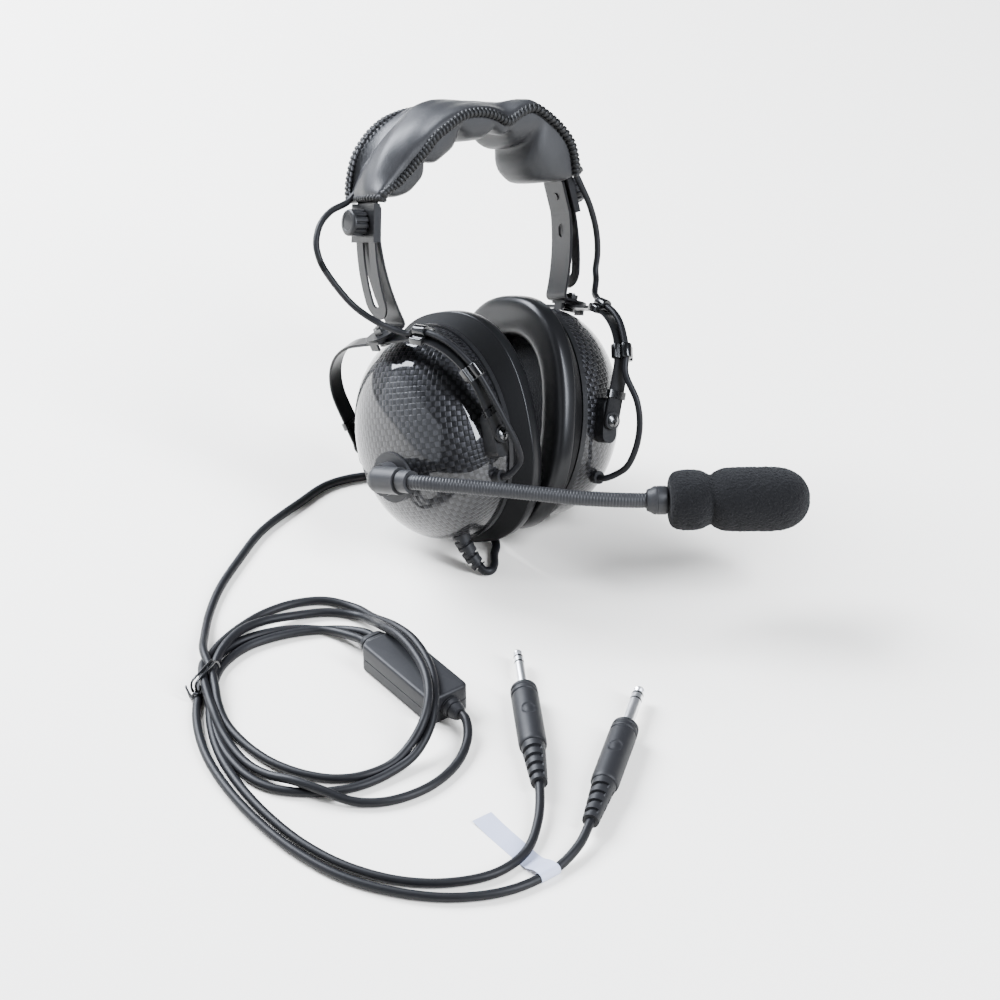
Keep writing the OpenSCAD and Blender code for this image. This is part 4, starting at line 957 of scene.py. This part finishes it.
def cushion_flat():
    """The cushion before it is laid under the band: a flat slab in (far, across, down)
    whose underside is six arches between sewn lines. Each arch is its depth, times the
    root of one minus the 3.4th power of the way from its middle along (the 2.3rd in the
    first half of the first), times the root of one minus the fifth power of the way
    across."""
    far = dense(-1.5, PAD_LENGTH - LOBE_MARGIN, 150)[:, None]
    q = np.linspace(-1, 1, 41)[None]
    share = (far - LOBE_MARGIN) / (PAD_LENGTH - 2 * LOBE_MARGIN)
    k = np.clip(np.searchsorted(LOBE_ENDS, share, side="right") - 1, 0, 5)
    mid = (LOBE_ENDS[k] + LOBE_ENDS[k + 1]) / 2
    t = (share - mid) / (LOBE_ENDS[k + 1] - LOBE_ENDS[k]) * 2
    deep = LOBE_DEEP[k] * np.sqrt(np.clip(
        1 - np.abs(t) ** np.where((k == 0) & (t < 0), 2.3, 3.4), 0.05, 1))
    under = -deep * np.sqrt(np.clip(1 - np.abs(q) ** 5, 0, 1))
    below, above = (np.stack(np.broadcast_arrays(far, q * LOBE_HALF, z), -1)
                    for z in (under, 0.0))
    return pointed(np.concatenate([below, above[:, ::-1], below[:, :1]], 1))


def swell(made, held, voxel, pressure, cap, frames):
    """The piece's own skin blown up as cloth: remeshed, held where held() says, swollen
    by an even pressure with no gravity, and no point moved by more than cap."""
    remesh = made.modifiers.new("even_mesh", "REMESH")
    remesh.mode, remesh.voxel_size = "VOXEL", voxel
    dg = bpy.context.evaluated_depsgraph_get()
    mesh = bpy.data.meshes.new_from_object(made.evaluated_get(dg))
    made.modifiers.clear()
    made.data = mesh
    n = len(mesh.vertices)
    rest = np.zeros(n * 3)
    mesh.vertices.foreach_get("co", rest)
    rest = rest.reshape(-1, 3)
    group = made.vertex_groups.new(name="held")
    weight = np.round(held(rest), 1)
    for w in np.unique(weight):
        group.add(np.flatnonzero(weight == w).tolist(), float(w), "REPLACE")
    cloth = made.modifiers.new("cloth", "CLOTH")
    cloth.settings.quality = 6
    cloth.settings.mass = 0.2
    cloth.settings.tension_stiffness = cloth.settings.compression_stiffness = 12
    cloth.settings.bending_stiffness = 0.4
    cloth.settings.use_pressure = True
    cloth.settings.uniform_pressure_force = pressure
    cloth.settings.vertex_group_mass = "held"
    cloth.settings.effector_weights.gravity = 0
    cloth.collision_settings.use_self_collision = False
    cloth.point_cache.frame_start, cloth.point_cache.frame_end = 1, frames
    scene = bpy.context.scene
    for number in range(1, frames + 1):
        scene.frame_set(number)
    dg = bpy.context.evaluated_depsgraph_get()
    after = np.zeros(n * 3)
    made.evaluated_get(dg).data.vertices.foreach_get("co", after)
    made.modifiers.clear()
    move = after.reshape(-1, 3) - rest
    size = np.linalg.norm(move, axis=1, keepdims=True)
    moved = rest + move * np.minimum(1, cap / np.maximum(size, 1e-9))
    scene.frame_set(1)
    return moved


def cushion():
    """Six soft lobes of the head pad, sewn down between them, swollen as cloth while
    still flat and then laid under the band."""
    made = piece("head_pad_lobes", [cushion_flat()], np.eye(4), LOBE,
                 sharp=80)
    span = (PAD_LENGTH - 2 * LOBE_MARGIN) * MM
    seams = LOBE_ENDS[1:-1] * span + LOBE_MARGIN * MM

    def held(co):
        """The top, and a band along each sewn line."""
        near = np.abs(co[:, :1] - seams[None]).min(1)
        return np.where((co[:, 2] > -2.2 * MM) | (near < 1.3 * MM), 1.0, 0.0)

    co = swell(made, held, voxel=0.0022, pressure=6.0, cap=0.0032, frames=18)
    far, q = co[:, 0] / MM, co[:, 1] / MM / LOBE_HALF
    rails = pad_rails(far)
    edge = np.where(q[:, None] < 0, rails[:, 0], rails[:, -1])
    laid = over_band(far, np.abs(q) * edge[:, 0] * 0.95,
                     co[:, 2] / MM + LOBE_TOP + edge[:, 1] * q**2)
    # the first lobe starts before the band's line does: there it goes straight on
    onward = over_band(1.0, 0, LOBE_TOP) - over_band(0.0, 0, LOBE_TOP)
    laid += np.minimum(far, 0)[:, None] * onward
    world = placed(laid, HOLD) * MM
    made.data.vertices.foreach_set("co", world.astype(np.float32).ravel())
    made.data.update()
    tidy(made.data, 80)
    if not made.data.materials:
        made.data.materials.append(LOBE)
    soft = made.modifiers.new("round", "SUBSURF")
    soft.levels = soft.render_levels = 1
    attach(made, "headband")
    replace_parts(made, "head_pad_cushion")
    return made


# ---------------------------------------------------------------- boom

NECK = [
    (50.5, -22.95, -17.95), (50.4, -26, -18.3), (49, -30.5, -19.1), (46.2, -35.5, -20.5),
    (42, -41, -22.2), (37, -46.8, -24.1), (31.5, -52.5, -26.2), (25.5, -59.5, -28.7),
    (19.5, -66.8, -31.3), (13.2, -74.5, -34), (6.8, -82, -36.8), (0, -89.6, -39.6),
    (-7, -96.8, -42), (-14.5, -103.6, -44.3), (-22.3, -109.6, -46.4), (-26.48, -113.4, -47.35)]


def gooseneck():
    """Flexible neck: 8 across, with wound ribs 1.6 apart. Its radius is 3.62, plus 0.36
    times the 0.7th power of the size of a sine wave along it."""
    line = flow(NECK, 0.27)
    far = np.arange(len(line)) * length(line) / (len(line) - 1)
    rib = np.abs(np.sin(np.pi * far / 1.6)) ** 0.7
    made = piece("gooseneck_ribs", [sweep(line, disc(3.62 + 0.36 * rib, 20))], MIC_CUP, BOOM,
                 sharp=80)
    ends = placed(line[[0, -1]], MIC_CUP)
    (ends[0] * MM).tolist()
    (ends[1] * MM).tolist()
    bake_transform(made)
    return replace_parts(made, "gooseneck")


def windscreen():
    """Foam screen in two lobes: a profile turned about the microphone, with grain of a
    seeded random height on every point."""
    prof = flow([(10.1, 0), (10.1, 8), (10.3, 11.5), (12.4, 14.2), (16.5, 15.3), (20.5, 15.5),
                 (25.2, 15.2), (28.6, 14.0), (30.6, 12.9), (31.6, 12.8), (33.6, 14.2),
                 (37.5, 15.8), (45, 16.4), (55, 16.5), (64, 16.4), (71.5, 15.2), (77.5, 12),
                 (81, 7.5), (82.4, 3), (82.6, 0)], 0.42)
    rows = lathe(prof, 260)
    rng = np.random.default_rng(11)
    grain = rng.normal(0, 1, rows.shape[:2])
    grain = grain + np.roll(grain, 1, 0) + np.roll(grain, 1, 1)
    grain[:, -1] = grain[:, 0]
    lift = np.ones_like(rows) * grain[..., None] * 0.085
    axis = np.array([0, 0, 1.0])
    out = rows * (1, 1, 0)
    out = out / np.maximum(np.linalg.norm(out, axis=-1, keepdims=True), 1e-6)
    end = np.clip((rows[..., 2:3] - 74) / 9, 0, 1)
    rows = rows + lift * (out * (1 - end) + axis * end) * np.clip(
        np.linalg.norm(rows[..., :2], axis=-1, keepdims=True) / 4, 0, 1)
    return piece("windscreen_foam", [rows], HEAD, SCREEN, "mic_head", ["windscreen"], sharp=180)


def mic_collar():
    """Tapered end collar of the neck, with one shallow groove."""
    prof = [(-1.5, 0), (-1.5, 4.6), (-1.2, 5.6), (0.6, 6.3), (2.4, 7.3), (3.2, 7.45), (3.4, 7.2),
            (3.9, 7.2), (4.1, 7.45), (8.2, 7.45), (9.0, 7.1), (9.6, 6.4), (12, 6.2), (12, 0)]
    return piece("mic_collar", [lathe(prof, 64)], HEAD, BOOM, "mic_head", ["mic_housing"],
                 sharp=30)


# ---------------------------------------------------------------- crossover lead


def yoke_point(p, tip):
    """A point of the cup as a point of its stirrup."""
    x, z = p[0] - PIVOT_IN, p[2] + PIVOT_LOW
    return (x * cosd(tip) - z * sind(tip), p[1], x * sind(tip) + z * cosd(tip) - YOKE_DROP)


def arm_point(p, yaw):
    """A point of the stirrup as a point of its arm."""
    x = p[0] * cosd(yaw) - p[1] * sind(yaw) + ARM_R + BOLT_OUT
    y, z = p[0] * sind(yaw) + p[1] * cosd(yaw), p[2] - FOOT_DROP
    return (ARM_X + x * cosd(FOOT_A) + z * sind(FOOT_A), y,
            ARM_Z - x * sind(FOOT_A) + z * cosd(FOOT_A))


def beyond(p, way):
    """The point that far on from the last of p, straight ahead."""
    a, b = np.array(p[-2], float), np.array(p[-1], float)
    return b + way * (b - a) / np.linalg.norm(b - a)


def slide_point(p):
    """A point of the arm as a point of the headband."""
    return np.array(p) + (REST_OUT - TOP_STOP) * np.array([sind(KNOB_A), 0, -cosd(KNOB_A)])


YOKE_RUN = [(0, -58.6, -38), (0, -55.9, -26.3), (0, -46.7, -11.3), (0, -38.9, -5.3),
            (0, -29.1, -1.4), (0, -25, -0.4)]
MIC_EXIT, PHONE_EXIT = np.array([8, -46.2, -24.6]), np.array([14.9, -40.5, -33.1])
MIC_LOW = [yoke_point(MIC_EXIT, MIC_TIP), yoke_point(MIC_EXIT - (0, 4, 0), MIC_TIP),
           (-1, -57.5, -81), (-0.7, -60.6, -72), (0, -60.6, -56), *YOKE_RUN]
MIC_MID = [arm_point(beyond(MIC_LOW, 0), MIC_YAW), arm_point(beyond(MIC_LOW, 3), MIC_YAW),
           (61.5, -15.5, 64), (67, -5.6, 69.3), (74, 2.4, 77.9), (81.5, 5.1, 89),
           (88.6, 5.8, 101.6)]
MIC_HIGH = [slide_point(beyond(MIC_MID, 0)), slide_point(beyond(MIC_MID, 4)),
            (89.5, 7.5, 113.5), (84.5, 10, 122), (75.5, 12.5, 128), (64.2, 13.3, 131.5),
            (57.6, 13.4, 136.4)]
PHONE_LOW = [yoke_point(PHONE_EXIT, PHONE_TIP), yoke_point(PHONE_EXIT - (0, 5, 0), PHONE_TIP),
             (12.4, -50, -91), (13.5, -57, -86), (12.5, -63, -75), (10, -65.5, -63),
             (6, -65, -52), *YOKE_RUN]
PHONE_MID = [arm_point(beyond(PHONE_LOW, 0), PHONE_YAW),
             arm_point(beyond(PHONE_LOW, 3), PHONE_YAW),
             (66, -18.5, 62.5), (69.2, -12.1, 65.5), (73.9, -8.1, 72.3)]
PHONE_HIGH = [slide_point(beyond(PHONE_MID, 0)), slide_point(beyond(PHONE_MID, 4)),
              (77, -7.6, 86), (76.8, -9, 98), (73, -11, 112), (68, -12.8, 122),
              (63.2, -13.3, 131.5), (57.6, -13.4, 136.4)]


def crossover(name, parts, nodes, joins):
    """One side of the crossover lead: three runs that share one smooth line, each a tube
    along it between the two bodies that it joins."""
    runs = [placed(p, m) for p, m in parts]
    line = flow(np.vstack([runs[0], *[run[1:] for run in runs[1:]]]), 1.0)
    start = 0
    for i, (points, node, (a, b)) in enumerate(zip(runs, nodes, joins, strict=True)):
        stop = int(np.argmin(np.linalg.norm(line - points[-1], axis=1)))
        run = line[max(start - 3, 0):stop + 4]
        tube = sweep(run, disc(CROSS_D / 2, 14), up=(0.9, 0.3, 0.1))
        made = piece(f"{name}_{i + 1}", [tube], np.eye(4), CORD)
        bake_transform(made)
        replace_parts(made, node)
        start = stop


# ---------------------------------------------------------------- plugs and small parts


def slotted_sleeve(start, end, r0, r1, a):
    """A sleeve from height start to end, tapered from radius r0 to r1, with four rows of
    paired slots: the wall sinks by 1.25 inside each slot."""
    z = np.linspace(start, end, 150)
    r = np.interp(z, [start, end], [r0, r1])[:, None] * np.ones_like(a)
    pitch = (end - start - 3) / 4
    quarter = np.abs(np.cos(a + 0.5))[None] > 0.42
    for k in range(4):
        low = start + 2.6 + k * pitch
        inside = ((z > low) & (z < low + pitch * 0.42))[:, None]
        r = r - 1.25 * (inside & quarter)
    return rounds(z, r, a)


def plug(name, x, y, yaw, shaft, nodes):
    """A plug: a rounded grip with two grooves and a bare oval recess 0.5 deep, a slotted
    sleeve towards the cord, and a turned pin with two insulating rings and a waisted
    tip."""
    where = TABLE @ shift(x, y, 7.1) @ turn("z", yaw) @ turn("y", 90)
    a = np.linspace(0, 2 * np.pi, 65)
    sleeve = slotted_sleeve(0.3, 27.6, 4.1, 6.0, a)
    back = sleeve[:1] * 0 + (0, 0, 0.3)
    grip_z = np.array([27.6, 27.7, 28.2, 29.2, 31.5, 40, 60, 65.6, 66.0, 66.4, 67.2, 67.6, 68.0,
                       69.2, 69.6, 70.0, 70.8, 71.2, 71.6, 73.0, 73.7, 74])
    grip_r = np.array([6.0, 6.35, 6.7, 6.9, 7, 7, 7, 7, 6.85, 6.45, 6.45, 6.85, 7, 7, 6.85, 6.45,
                       6.45, 6.8, 6.9, 6.7, 6.2, 5.2])
    fine = np.unique(np.concatenate([grip_z, np.linspace(44, 58, 57), np.linspace(29, 66, 38)]))
    gr = np.interp(fine, grip_z, grip_r)[:, None] * np.ones_like(a)
    about = np.angle(np.exp(1j * (a - np.pi)))
    spot = np.hypot((fine[:, None] - 50.5) / 4.3, about * 7 / 3.8)
    gr = gr - 0.5 * ease((1 - spot) / 0.16) + 0.12 * ease((0.42 - spot) / 0.16)
    grip = rounds(fine, gr, a)
    front = grip[:1] * 0 + (0, 0, 74)
    body = np.concatenate([back, sleeve, grip, front])
    handle = piece(f"{name}_handle", [body], where, BODY, "mic_cup", [nodes[0]], sharp=32)
    s = shaft / 2
    prof = [(73.5, 0), (73.5, s), (94, s), (94, s - 0.35), (95.2, s - 0.35), (95.2, s),
            (98.4, s), (98.4, s - 0.35), (99.6, s - 0.35), (99.6, s - 0.1), (100.1, s - 0.1),
            (101.3, s - 0.85), (101.9, s - 0.55), (102.9, s - 0.2), (103.8, s - 0.45),
            (104.6, s - 1.3), (105, 0)]
    pin = piece(f"{name}_shaft", [lathe(prof, 56)], where, BRIGHT, "mic_cup", [nodes[1]],
                sharp=30)
    return [handle, pin]


def cup_relief():
    """Bent strain relief under the mic cup: a tapered sleeve swept along its curve, with
    leaning slots 1.5 deep, each half a turn on from the last."""
    line = flow(placed([(-41.6, -26, 22), (-41.4, -29, 17), (-40.6, -32.6, 12),
                        (-39.6, -36, 7.8), (-38.4, -39.6, 4.7)], TABLE), 0.3)
    far = np.linspace(0, 1, len(line))
    r = np.interp(far, [0, 1], [5.2, 3.7])[:, None]
    a = np.linspace(0, 2 * np.pi, 37)[None]
    lean = far[:, None] * 6.5 + 0.16 * np.sin(a)
    wave = np.sin(2 * np.pi * lean)
    side = np.cos(a + np.pi * np.floor(lean))
    r = r - 1.5 * np.clip(wave * 3 - 0.6, 0, 1) * np.clip(side * 3 + 2.0, 0, 1)
    sec = np.stack([r * np.cos(a), r * np.sin(a)], -1)
    return piece("cup_relief", [sweep(line, sec, up=(1, 0, 0))], np.eye(4), BODY, "mic_cup",
                 ["cord_gland"], sharp=40)


def wire_tie():
    """Two turns of thin tie round the five strands, and its twisted ends."""
    where = TABLE @ shift(-206, -32, 0) @ turn("z", 28)
    t = np.linspace(0, 1, 160)
    ang = 2 * np.pi * 2.15 * t + 2.7
    c, s = np.cos(ang), np.sin(ang)
    x = 10.9 * np.sign(c) * np.abs(c) ** 0.75
    z = 5.6 + 4.9 * np.sign(s) * np.abs(s) ** 0.72
    line = np.stack([x, -2.6 + 5.2 * t + 0.5 * np.sin(3 * ang), z], 1)
    grids = [sweep(even(line, 0.6), slab(1.5, 0.9, 0.4, 2), up=(0, 1, 0.05))]
    for late, lift in ((0.0, 0.0), (2.4, 1.4)):
        q = np.linspace(0, 1, 60)
        loop = np.stack([-11.5 - 3.6 * np.sin(np.pi * q) - 0.5 * np.cos(5 * q + late),
                         -4.5 + 9 * q + 0.8 * np.sin(6 * q + late),
                         3.4 + lift + 2.4 * np.sin(2 * np.pi * q + late)], 1)
        grids.append(sweep(even(loop, 0.6), disc(0.62, 8), up=(0.3, 0.2, 1)))
    return piece("wire_tie", grids, where, TIE, "mic_cup", ["cord_tie"], sharp=60)


def splitter():
    """Splitter: a case of 24 by 60 by 16 with round corners and a seam groove round its
    middle, and a stepped relief at each end whose rings shrink towards the cord. The one
    for two leads is 6 wider: its halves stand 3 out to each side."""
    where = TABLE @ shift(-125, -98, 0) @ turn("z", -1)
    levels = [(0.05, 1.2), (0.35, 0.45), (0.9, 0.05), (1.6, 0), (7.3, 0), (7.4, 0.4), (7.75, 0.4),
              (7.85, 0), (14.2, 0), (15.0, 0.15), (15.6, 0.55), (15.9, 1.1), (16.0, 2.0)]
    rows = [np.column_stack([slab(24 - 2 * i, 60 - 2 * i, 3.4 - i, 6), np.full(29, z)])
            for z, i in levels]
    rows = np.stack([rows[0] * (0, 0, 1), *rows, rows[-1] * (0, 0, 1)])
    case = piece("splitter_box", [rows], where, CASE, "mic_cup", ["splitter_case"], sharp=28)
    prof = np.array([(-0.5, 5.6), (0.9, 5.6), (1.1, 4.9), (1.7, 4.9), (1.9, 5.4), (4.0, 5.0),
                     (4.2, 4.3), (4.9, 4.3), (5.1, 4.7), (7.2, 4.2), (8.6, 3.5), (8.9, 2.6),
                     (8.9, 0)])
    grids = []
    for side, spread in ((-1, 0), (1, 3.0)):
        ring = lathe(prof, 48)
        ring[..., 0] += spread * np.clip(ring[..., 0] / 1.2, -1, 1)
        grids.append(np.stack([ring[..., 0], side * (30 + ring[..., 2]), 8 + ring[..., 1]], -1))
    glands = piece("splitter_reliefs", grids, where, BODY, "mic_cup", ["splitter_glands"],
                   sharp=30)
    return [case, glands]


def flag_label():
    """Blank flag label: one leaf, 11.2 wide. It is wound once and a quarter round the
    phones lead, leaves it at the top, and comes down to lie along the table."""
    wind = np.linspace(-2.5 * np.pi, 0, 60)
    r = np.linspace(2.42, 2.7, 60)
    wrap = np.stack([0 * wind, r * np.sin(wind) - 250.0, r * np.cos(wind) + 2.5], 1)
    leaf = flow([(0, -250, 5.2), (0.1, -246.4, 4.6), (0.3, -243.2, 3.1), (0.4, -240.2, 1.5),
                 (0.6, -237, 0.45), (0.7, -233.5, 0.16), (0.9, -227, 0.14), (1.1, -215, 0.15),
                 (1.3, -206, 0.4), (1.5, -198, 1.0)], 0.7)
    line = np.vstack([wrap[:-1], leaf])
    return piece("flag_label", [sweep(line, slab(0.22, 11.2, 0.1, 1), up=(1, 0, 0))],
                 TABLE @ shift(-161, 0, 0), FILM, "mic_cup", ["lead_tag"], sharp=40)


def cable_clips(name, where, body, node):
    """Cable clips on a stirrup. Each of the two large ones has a section of a flat saddle
    with a bead along both edges and a barrel of 3.1 over the lead; two small keepers are
    plain bands on the legs."""
    q = np.linspace(0, np.pi, 9)
    bead = np.stack([-5.4 + 1.0 * np.cos(q[::-1]), 1.3 + 1.0 * np.sin(q[::-1])], 1)
    barrel = np.stack([3.1 * np.cos(np.linspace(1.18 * np.pi, -0.18 * np.pi, 19)),
                       3.7 + 3.1 * np.sin(np.linspace(1.18 * np.pi, -0.18 * np.pi, 19))], 1)
    sec = np.vstack([[(-6.3, -1.2)], bead, barrel, (bead * (-1, 1))[::-1],
                     [(6.3, -1.2), (5.8, -1.75), (-5.8, -1.75), (-6.3, -1.2)]])
    middle = sec[:-1].mean(0)
    ends = [(-4.0, 0.0), (-4.0, 0.9), (-3.75, 0.97), (-3.3, 1.0)]
    rows = np.stack([np.column_stack([sec[:, 0] * k, np.full(len(sec), y),
                                      (sec[:, 1] - middle[1]) * k + middle[1]])
                     for y, k in ends + [(-y, k) for y, k in ends[::-1]]])
    grids = []
    for a in (14, 72):
        corner = shift(0, YOKE_HALF - YOKE_CORNER, -YOKE_TOP - YOKE_CORNER)
        on_it = turn("x", -a) @ shift(0, 0, YOKE_CORNER)
        grids.append(placed(rows, np.diag([1.0, -1, 1, 1]) @ corner @ on_it))
    for side in (-1, 1):
        line = np.array([(0, side * YOKE_HALF, -YOKE_DROP + z) for z in (12, 12.4, 15.6, 16)])
        grids.append(sweep(line, slab(3.3, 11.3, 0.7, 2), up=(1, 0, 0)))
    return piece(name, grids, where, CLIP, body, [node], sharp=35)


def clamp_knob(name, where, body, node):
    """Knurled clamp knob: radius 7, twelve round flutes 1.2 deep that stop behind a smooth
    rounded face, and its stud."""
    z = np.array([2.5, 2.6, 3.0, 4, 5, 6, 7, 8, 8.8, 9.3, 9.7, 10.0, 10.5, 11.0, 11.35, 11.5,
                  11.5, 11.3, 11.3])
    r = np.array([6.2, 6.6, 7, 7, 7, 7, 7, 7, 7, 7, 7, 7, 6.95, 6.75, 6.3, 5.7, 4.4, 4.1, 0])
    a = np.linspace(0, 2 * np.pi, 193)
    flute = np.clip(np.cos(12 * a) * 1.6 - 0.5, 0, 1)[None]
    depth = (1.2 * np.sqrt(np.clip((9.9 - z) / 1.4, 0, 1)) * (z < 9.9))[:, None]
    rr = np.minimum(r[:, None], np.maximum(r[:, None] - depth * flute, 0))
    face = rounds(z, rr, a)
    back = lathe([(2.5, 0), (2.5, 6.2)], 192)
    stud = lathe([(-4.4, 0), (-4.4, 1.95), (2.6, 1.95), (2.6, 0)], 32)
    clamp = shift(KNOB_X, 0, KNOB_Z) @ turn("y", -KNOB_A) @ turn("y", 90)
    return piece(name, [face, back, stud], where @ clamp, BLOCK, body, [node], sharp=32)


def pivot_screws(name, where, body, node):
    """Two pivot screws: a domed head of radius 3.3 whose height falls with the square of
    the radius, with a crossed slot sunk 0.8, on a shank; and the black washers under
    them as a second piece."""
    r = np.array([0, 0.2, 0.4, 0.6, 0.8, 1.0, 1.2, 1.4, 1.6, 1.8, 2.0, 2.2, 2.6, 3.0, 3.3, 3.3])
    a = np.linspace(0, 2 * np.pi, 145)
    x, y = r[:, None] * np.cos(a), r[:, None] * np.sin(a)
    low, high = np.minimum(abs(x), abs(y)), np.maximum(abs(x), abs(y))
    slot = ease((0.5 - low) / 0.14) * ease((1.9 - high) / 0.2)
    h = 1.8 - 1.1 * (r[:, None] / 3.3) ** 2 - 0.8 * slot
    h[-1] = 0.2
    head = np.stack([x, y, h], -1)
    shank = lathe([(0.2, 3.3), (0.2, 1.5), (-9.5, 1.5), (-9.5, 0)], 144)
    washer = lathe([(-0.35, 0), (-0.35, 4.5), (-0.2, 4.7), (0.15, 4.7), (0.3, 4.5), (0.3, 0)], 64)
    heads, washers = [], []
    for side in (1, -1):
        m = (shift(PIVOT_IN, side * 55.2, -PIVOT_LOW) @ np.diag([1.0, side, 1, 1])
             @ turn("x", -90))
        heads += [placed(g, m) for g in (head, shank)]
        washers.append(placed(washer, m))
    piece(name + "_washers", washers, where, BLOCK, body, sharp=30)
    return piece(name, heads, where, SCREW, body, [node], sharp=32)


# ---------------------------------------------------------------- build

CAD_FINISH = {
    "mic_baffle": BLOCK, "phone_baffle": BLOCK, "mic_speaker": DRIVER,
    "phone_speaker": DRIVER, "mic_ear_foam": EAR_CLOTH, "phone_ear_foam": EAR_CLOTH,
    "mic_pivot_blocks": BLOCK, "phone_pivot_blocks": BLOCK,
    "mic_lead_gland": BODY, "phone_lead_gland": BODY,
    "boom_plate": BOOM, "boom_elbow": BOOM, "boom_collar": BOOM,
    "mic_limiter": STEEL, "phone_limiter": STEEL,
    "mic_clamp_plate": STEEL, "phone_clamp_plate": STEEL,
    "mic_swivel_bolt": SCREW, "phone_swivel_bolt": SCREW,
    "plug_insulators": RING}
for node, finish in CAD_FINISH.items():
    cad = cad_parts[node]
    cad.data.materials.clear()
    cad.data.materials.append(finish)

dome("mic_carbon_dome", MIC_CUP, "mic_cup", "mic_dome")
dome("phone_carbon_dome", PHONE_CUP, "phone_cup", "phone_dome")
ear_seal("mic_seal", MIC_CUP, "mic_cup", "mic_ear_seal", 3)
ear_seal("phone_seal", PHONE_CUP, "phone_cup", "phone_ear_seal", 7)
headband()
slider("mic_inner_arm", MIC_ARM, "mic_arm", "mic_slider_arm")
slider("phone_inner_arm", PHONE_ARM, "phone_arm", "phone_slider_arm")
stirrup("mic_yoke_band", MIC_BOLT, "mic_yoke", "mic_stirrup")
stirrup("phone_yoke_band", PHONE_BOLT, "phone_yoke", "phone_stirrup")
cable_clips("mic_clips", MIC_BOLT, "mic_yoke", "mic_cable_clips")
cable_clips("phone_clips", PHONE_BOLT, "phone_yoke", "phone_cable_clips")
clamp_knob("mic_clamp_knob", MIC_ARM, "mic_knob", "mic_knob")
clamp_knob("phone_clamp_knob", PHONE_ARM, "phone_knob", "phone_knob")
pivot_screws("mic_screws", MIC_CUP, "mic_cup", "mic_pivot_screws")
pivot_screws("phone_screws", PHONE_CUP, "phone_cup", "phone_pivot_screws")
pad_cover()
lacing()
cushion()
gooseneck()
windscreen()
mic_collar()
crossover("mic_crossover", [(MIC_LOW, MIC_BOLT), (MIC_MID, MIC_SIDE), (MIC_HIGH, MIC_SIDE)],
          ["cross_mic_low", "cross_mic_mid", "cross_mic_high"],
          [("mic_cup", "mic_yoke"), ("mic_yoke", "mic_arm"), ("mic_arm", "headband")])
crossover("phone_crossover",
          [(PHONE_LOW, PHONE_BOLT), (PHONE_MID, HOLD), (PHONE_HIGH, HOLD)],
          ["cross_phone_low", "cross_phone_mid", "cross_phone_high"],
          [("phone_cup", "phone_yoke"), ("phone_yoke", "phone_arm"), ("phone_arm", "headband")])
relief = cup_relief()
tie = wire_tie()
flag = flag_label()
split = splitter()
mic_plug = plug("mic_plug", -127.4, -201.5, 57.5, 5.23, ("mic_plug_body", "mic_plug_pin"))
phones_plug = plug("phones_plug", -126, -238, 36.9, 6.35,
                   ("phones_plug_body", "phones_plug_pin"))
lay_cord("headset_cord", MAIN_PATH + TURN_ONE + TURN_TWO + THIRD_PASS,
         ["main_cord", "cord_coil", "cord_end"])
lay_cord("mic_downlead", MIC_PATH, ["mic_lead"])
lay_cord("phones_downlead", PHONES_PATH, ["phones_lead"])


# ---------------------------------------------------------------- studio


def studio():
    """Pale floor, a broad low panel on the left, a bright one behind, a tall strip in front
    on the right, and a dim room."""
    size = 12
    mesh = bpy.data.meshes.new("floor")
    mesh.from_pydata([(-size, -size, 0), (size, -size, 0), (size, size, 0), (-size, size, 0)],
                     [], [(0, 1, 2, 3)])
    f = Finish("floor_paper", {"Roughness": 0.6, "Specular IOR Level": 0.2})
    f.feed("Base Color", f.mix(f.noise(3, 2), (0.95, 0.905, 0.82, 1), (0.97, 0.925, 0.84, 1)))
    mesh.materials.append(f.material)
    floor = bpy.data.objects.new("floor", mesh)
    bpy.context.scene.collection.objects.link(floor)
    world = bpy.data.worlds.new("room")
    bpy.context.scene.world = world
    world.use_nodes = True
    world.node_tree.nodes["Background"].inputs[0].default_value = (0.88, 0.93, 1, 1)
    world.node_tree.nodes["Background"].inputs[1].default_value = 0.16
    lamps = [("left_panel", (-2.2, 0.3, 0.74), (3.8, 1.66), 42),
             ("back_panel", (-0.42, 1.5, 1.4), (1.3, 1.1), 250),
             ("right_strip", (0.42, -1.6, 1.4), (0.45, 1.8), 150)]
    for name, place, (wide, tall), watts in lamps:
        lamp = bpy.data.lights.new(name, "AREA")
        lamp.color = (0.85, 0.9, 1.0)
        lamp.shape, lamp.size, lamp.size_y, lamp.energy = "RECTANGLE", wide, tall, watts
        stand = bpy.data.objects.new(name, lamp)
        stand.location = place
        stand.rotation_mode = "QUATERNION"
        aim = Vector((-0.05, 0, 0.08)) - Vector(place)
        stand.rotation_quaternion = aim.to_track_quat("-Z", "Y")
        bpy.context.scene.collection.objects.link(stand)


studio()
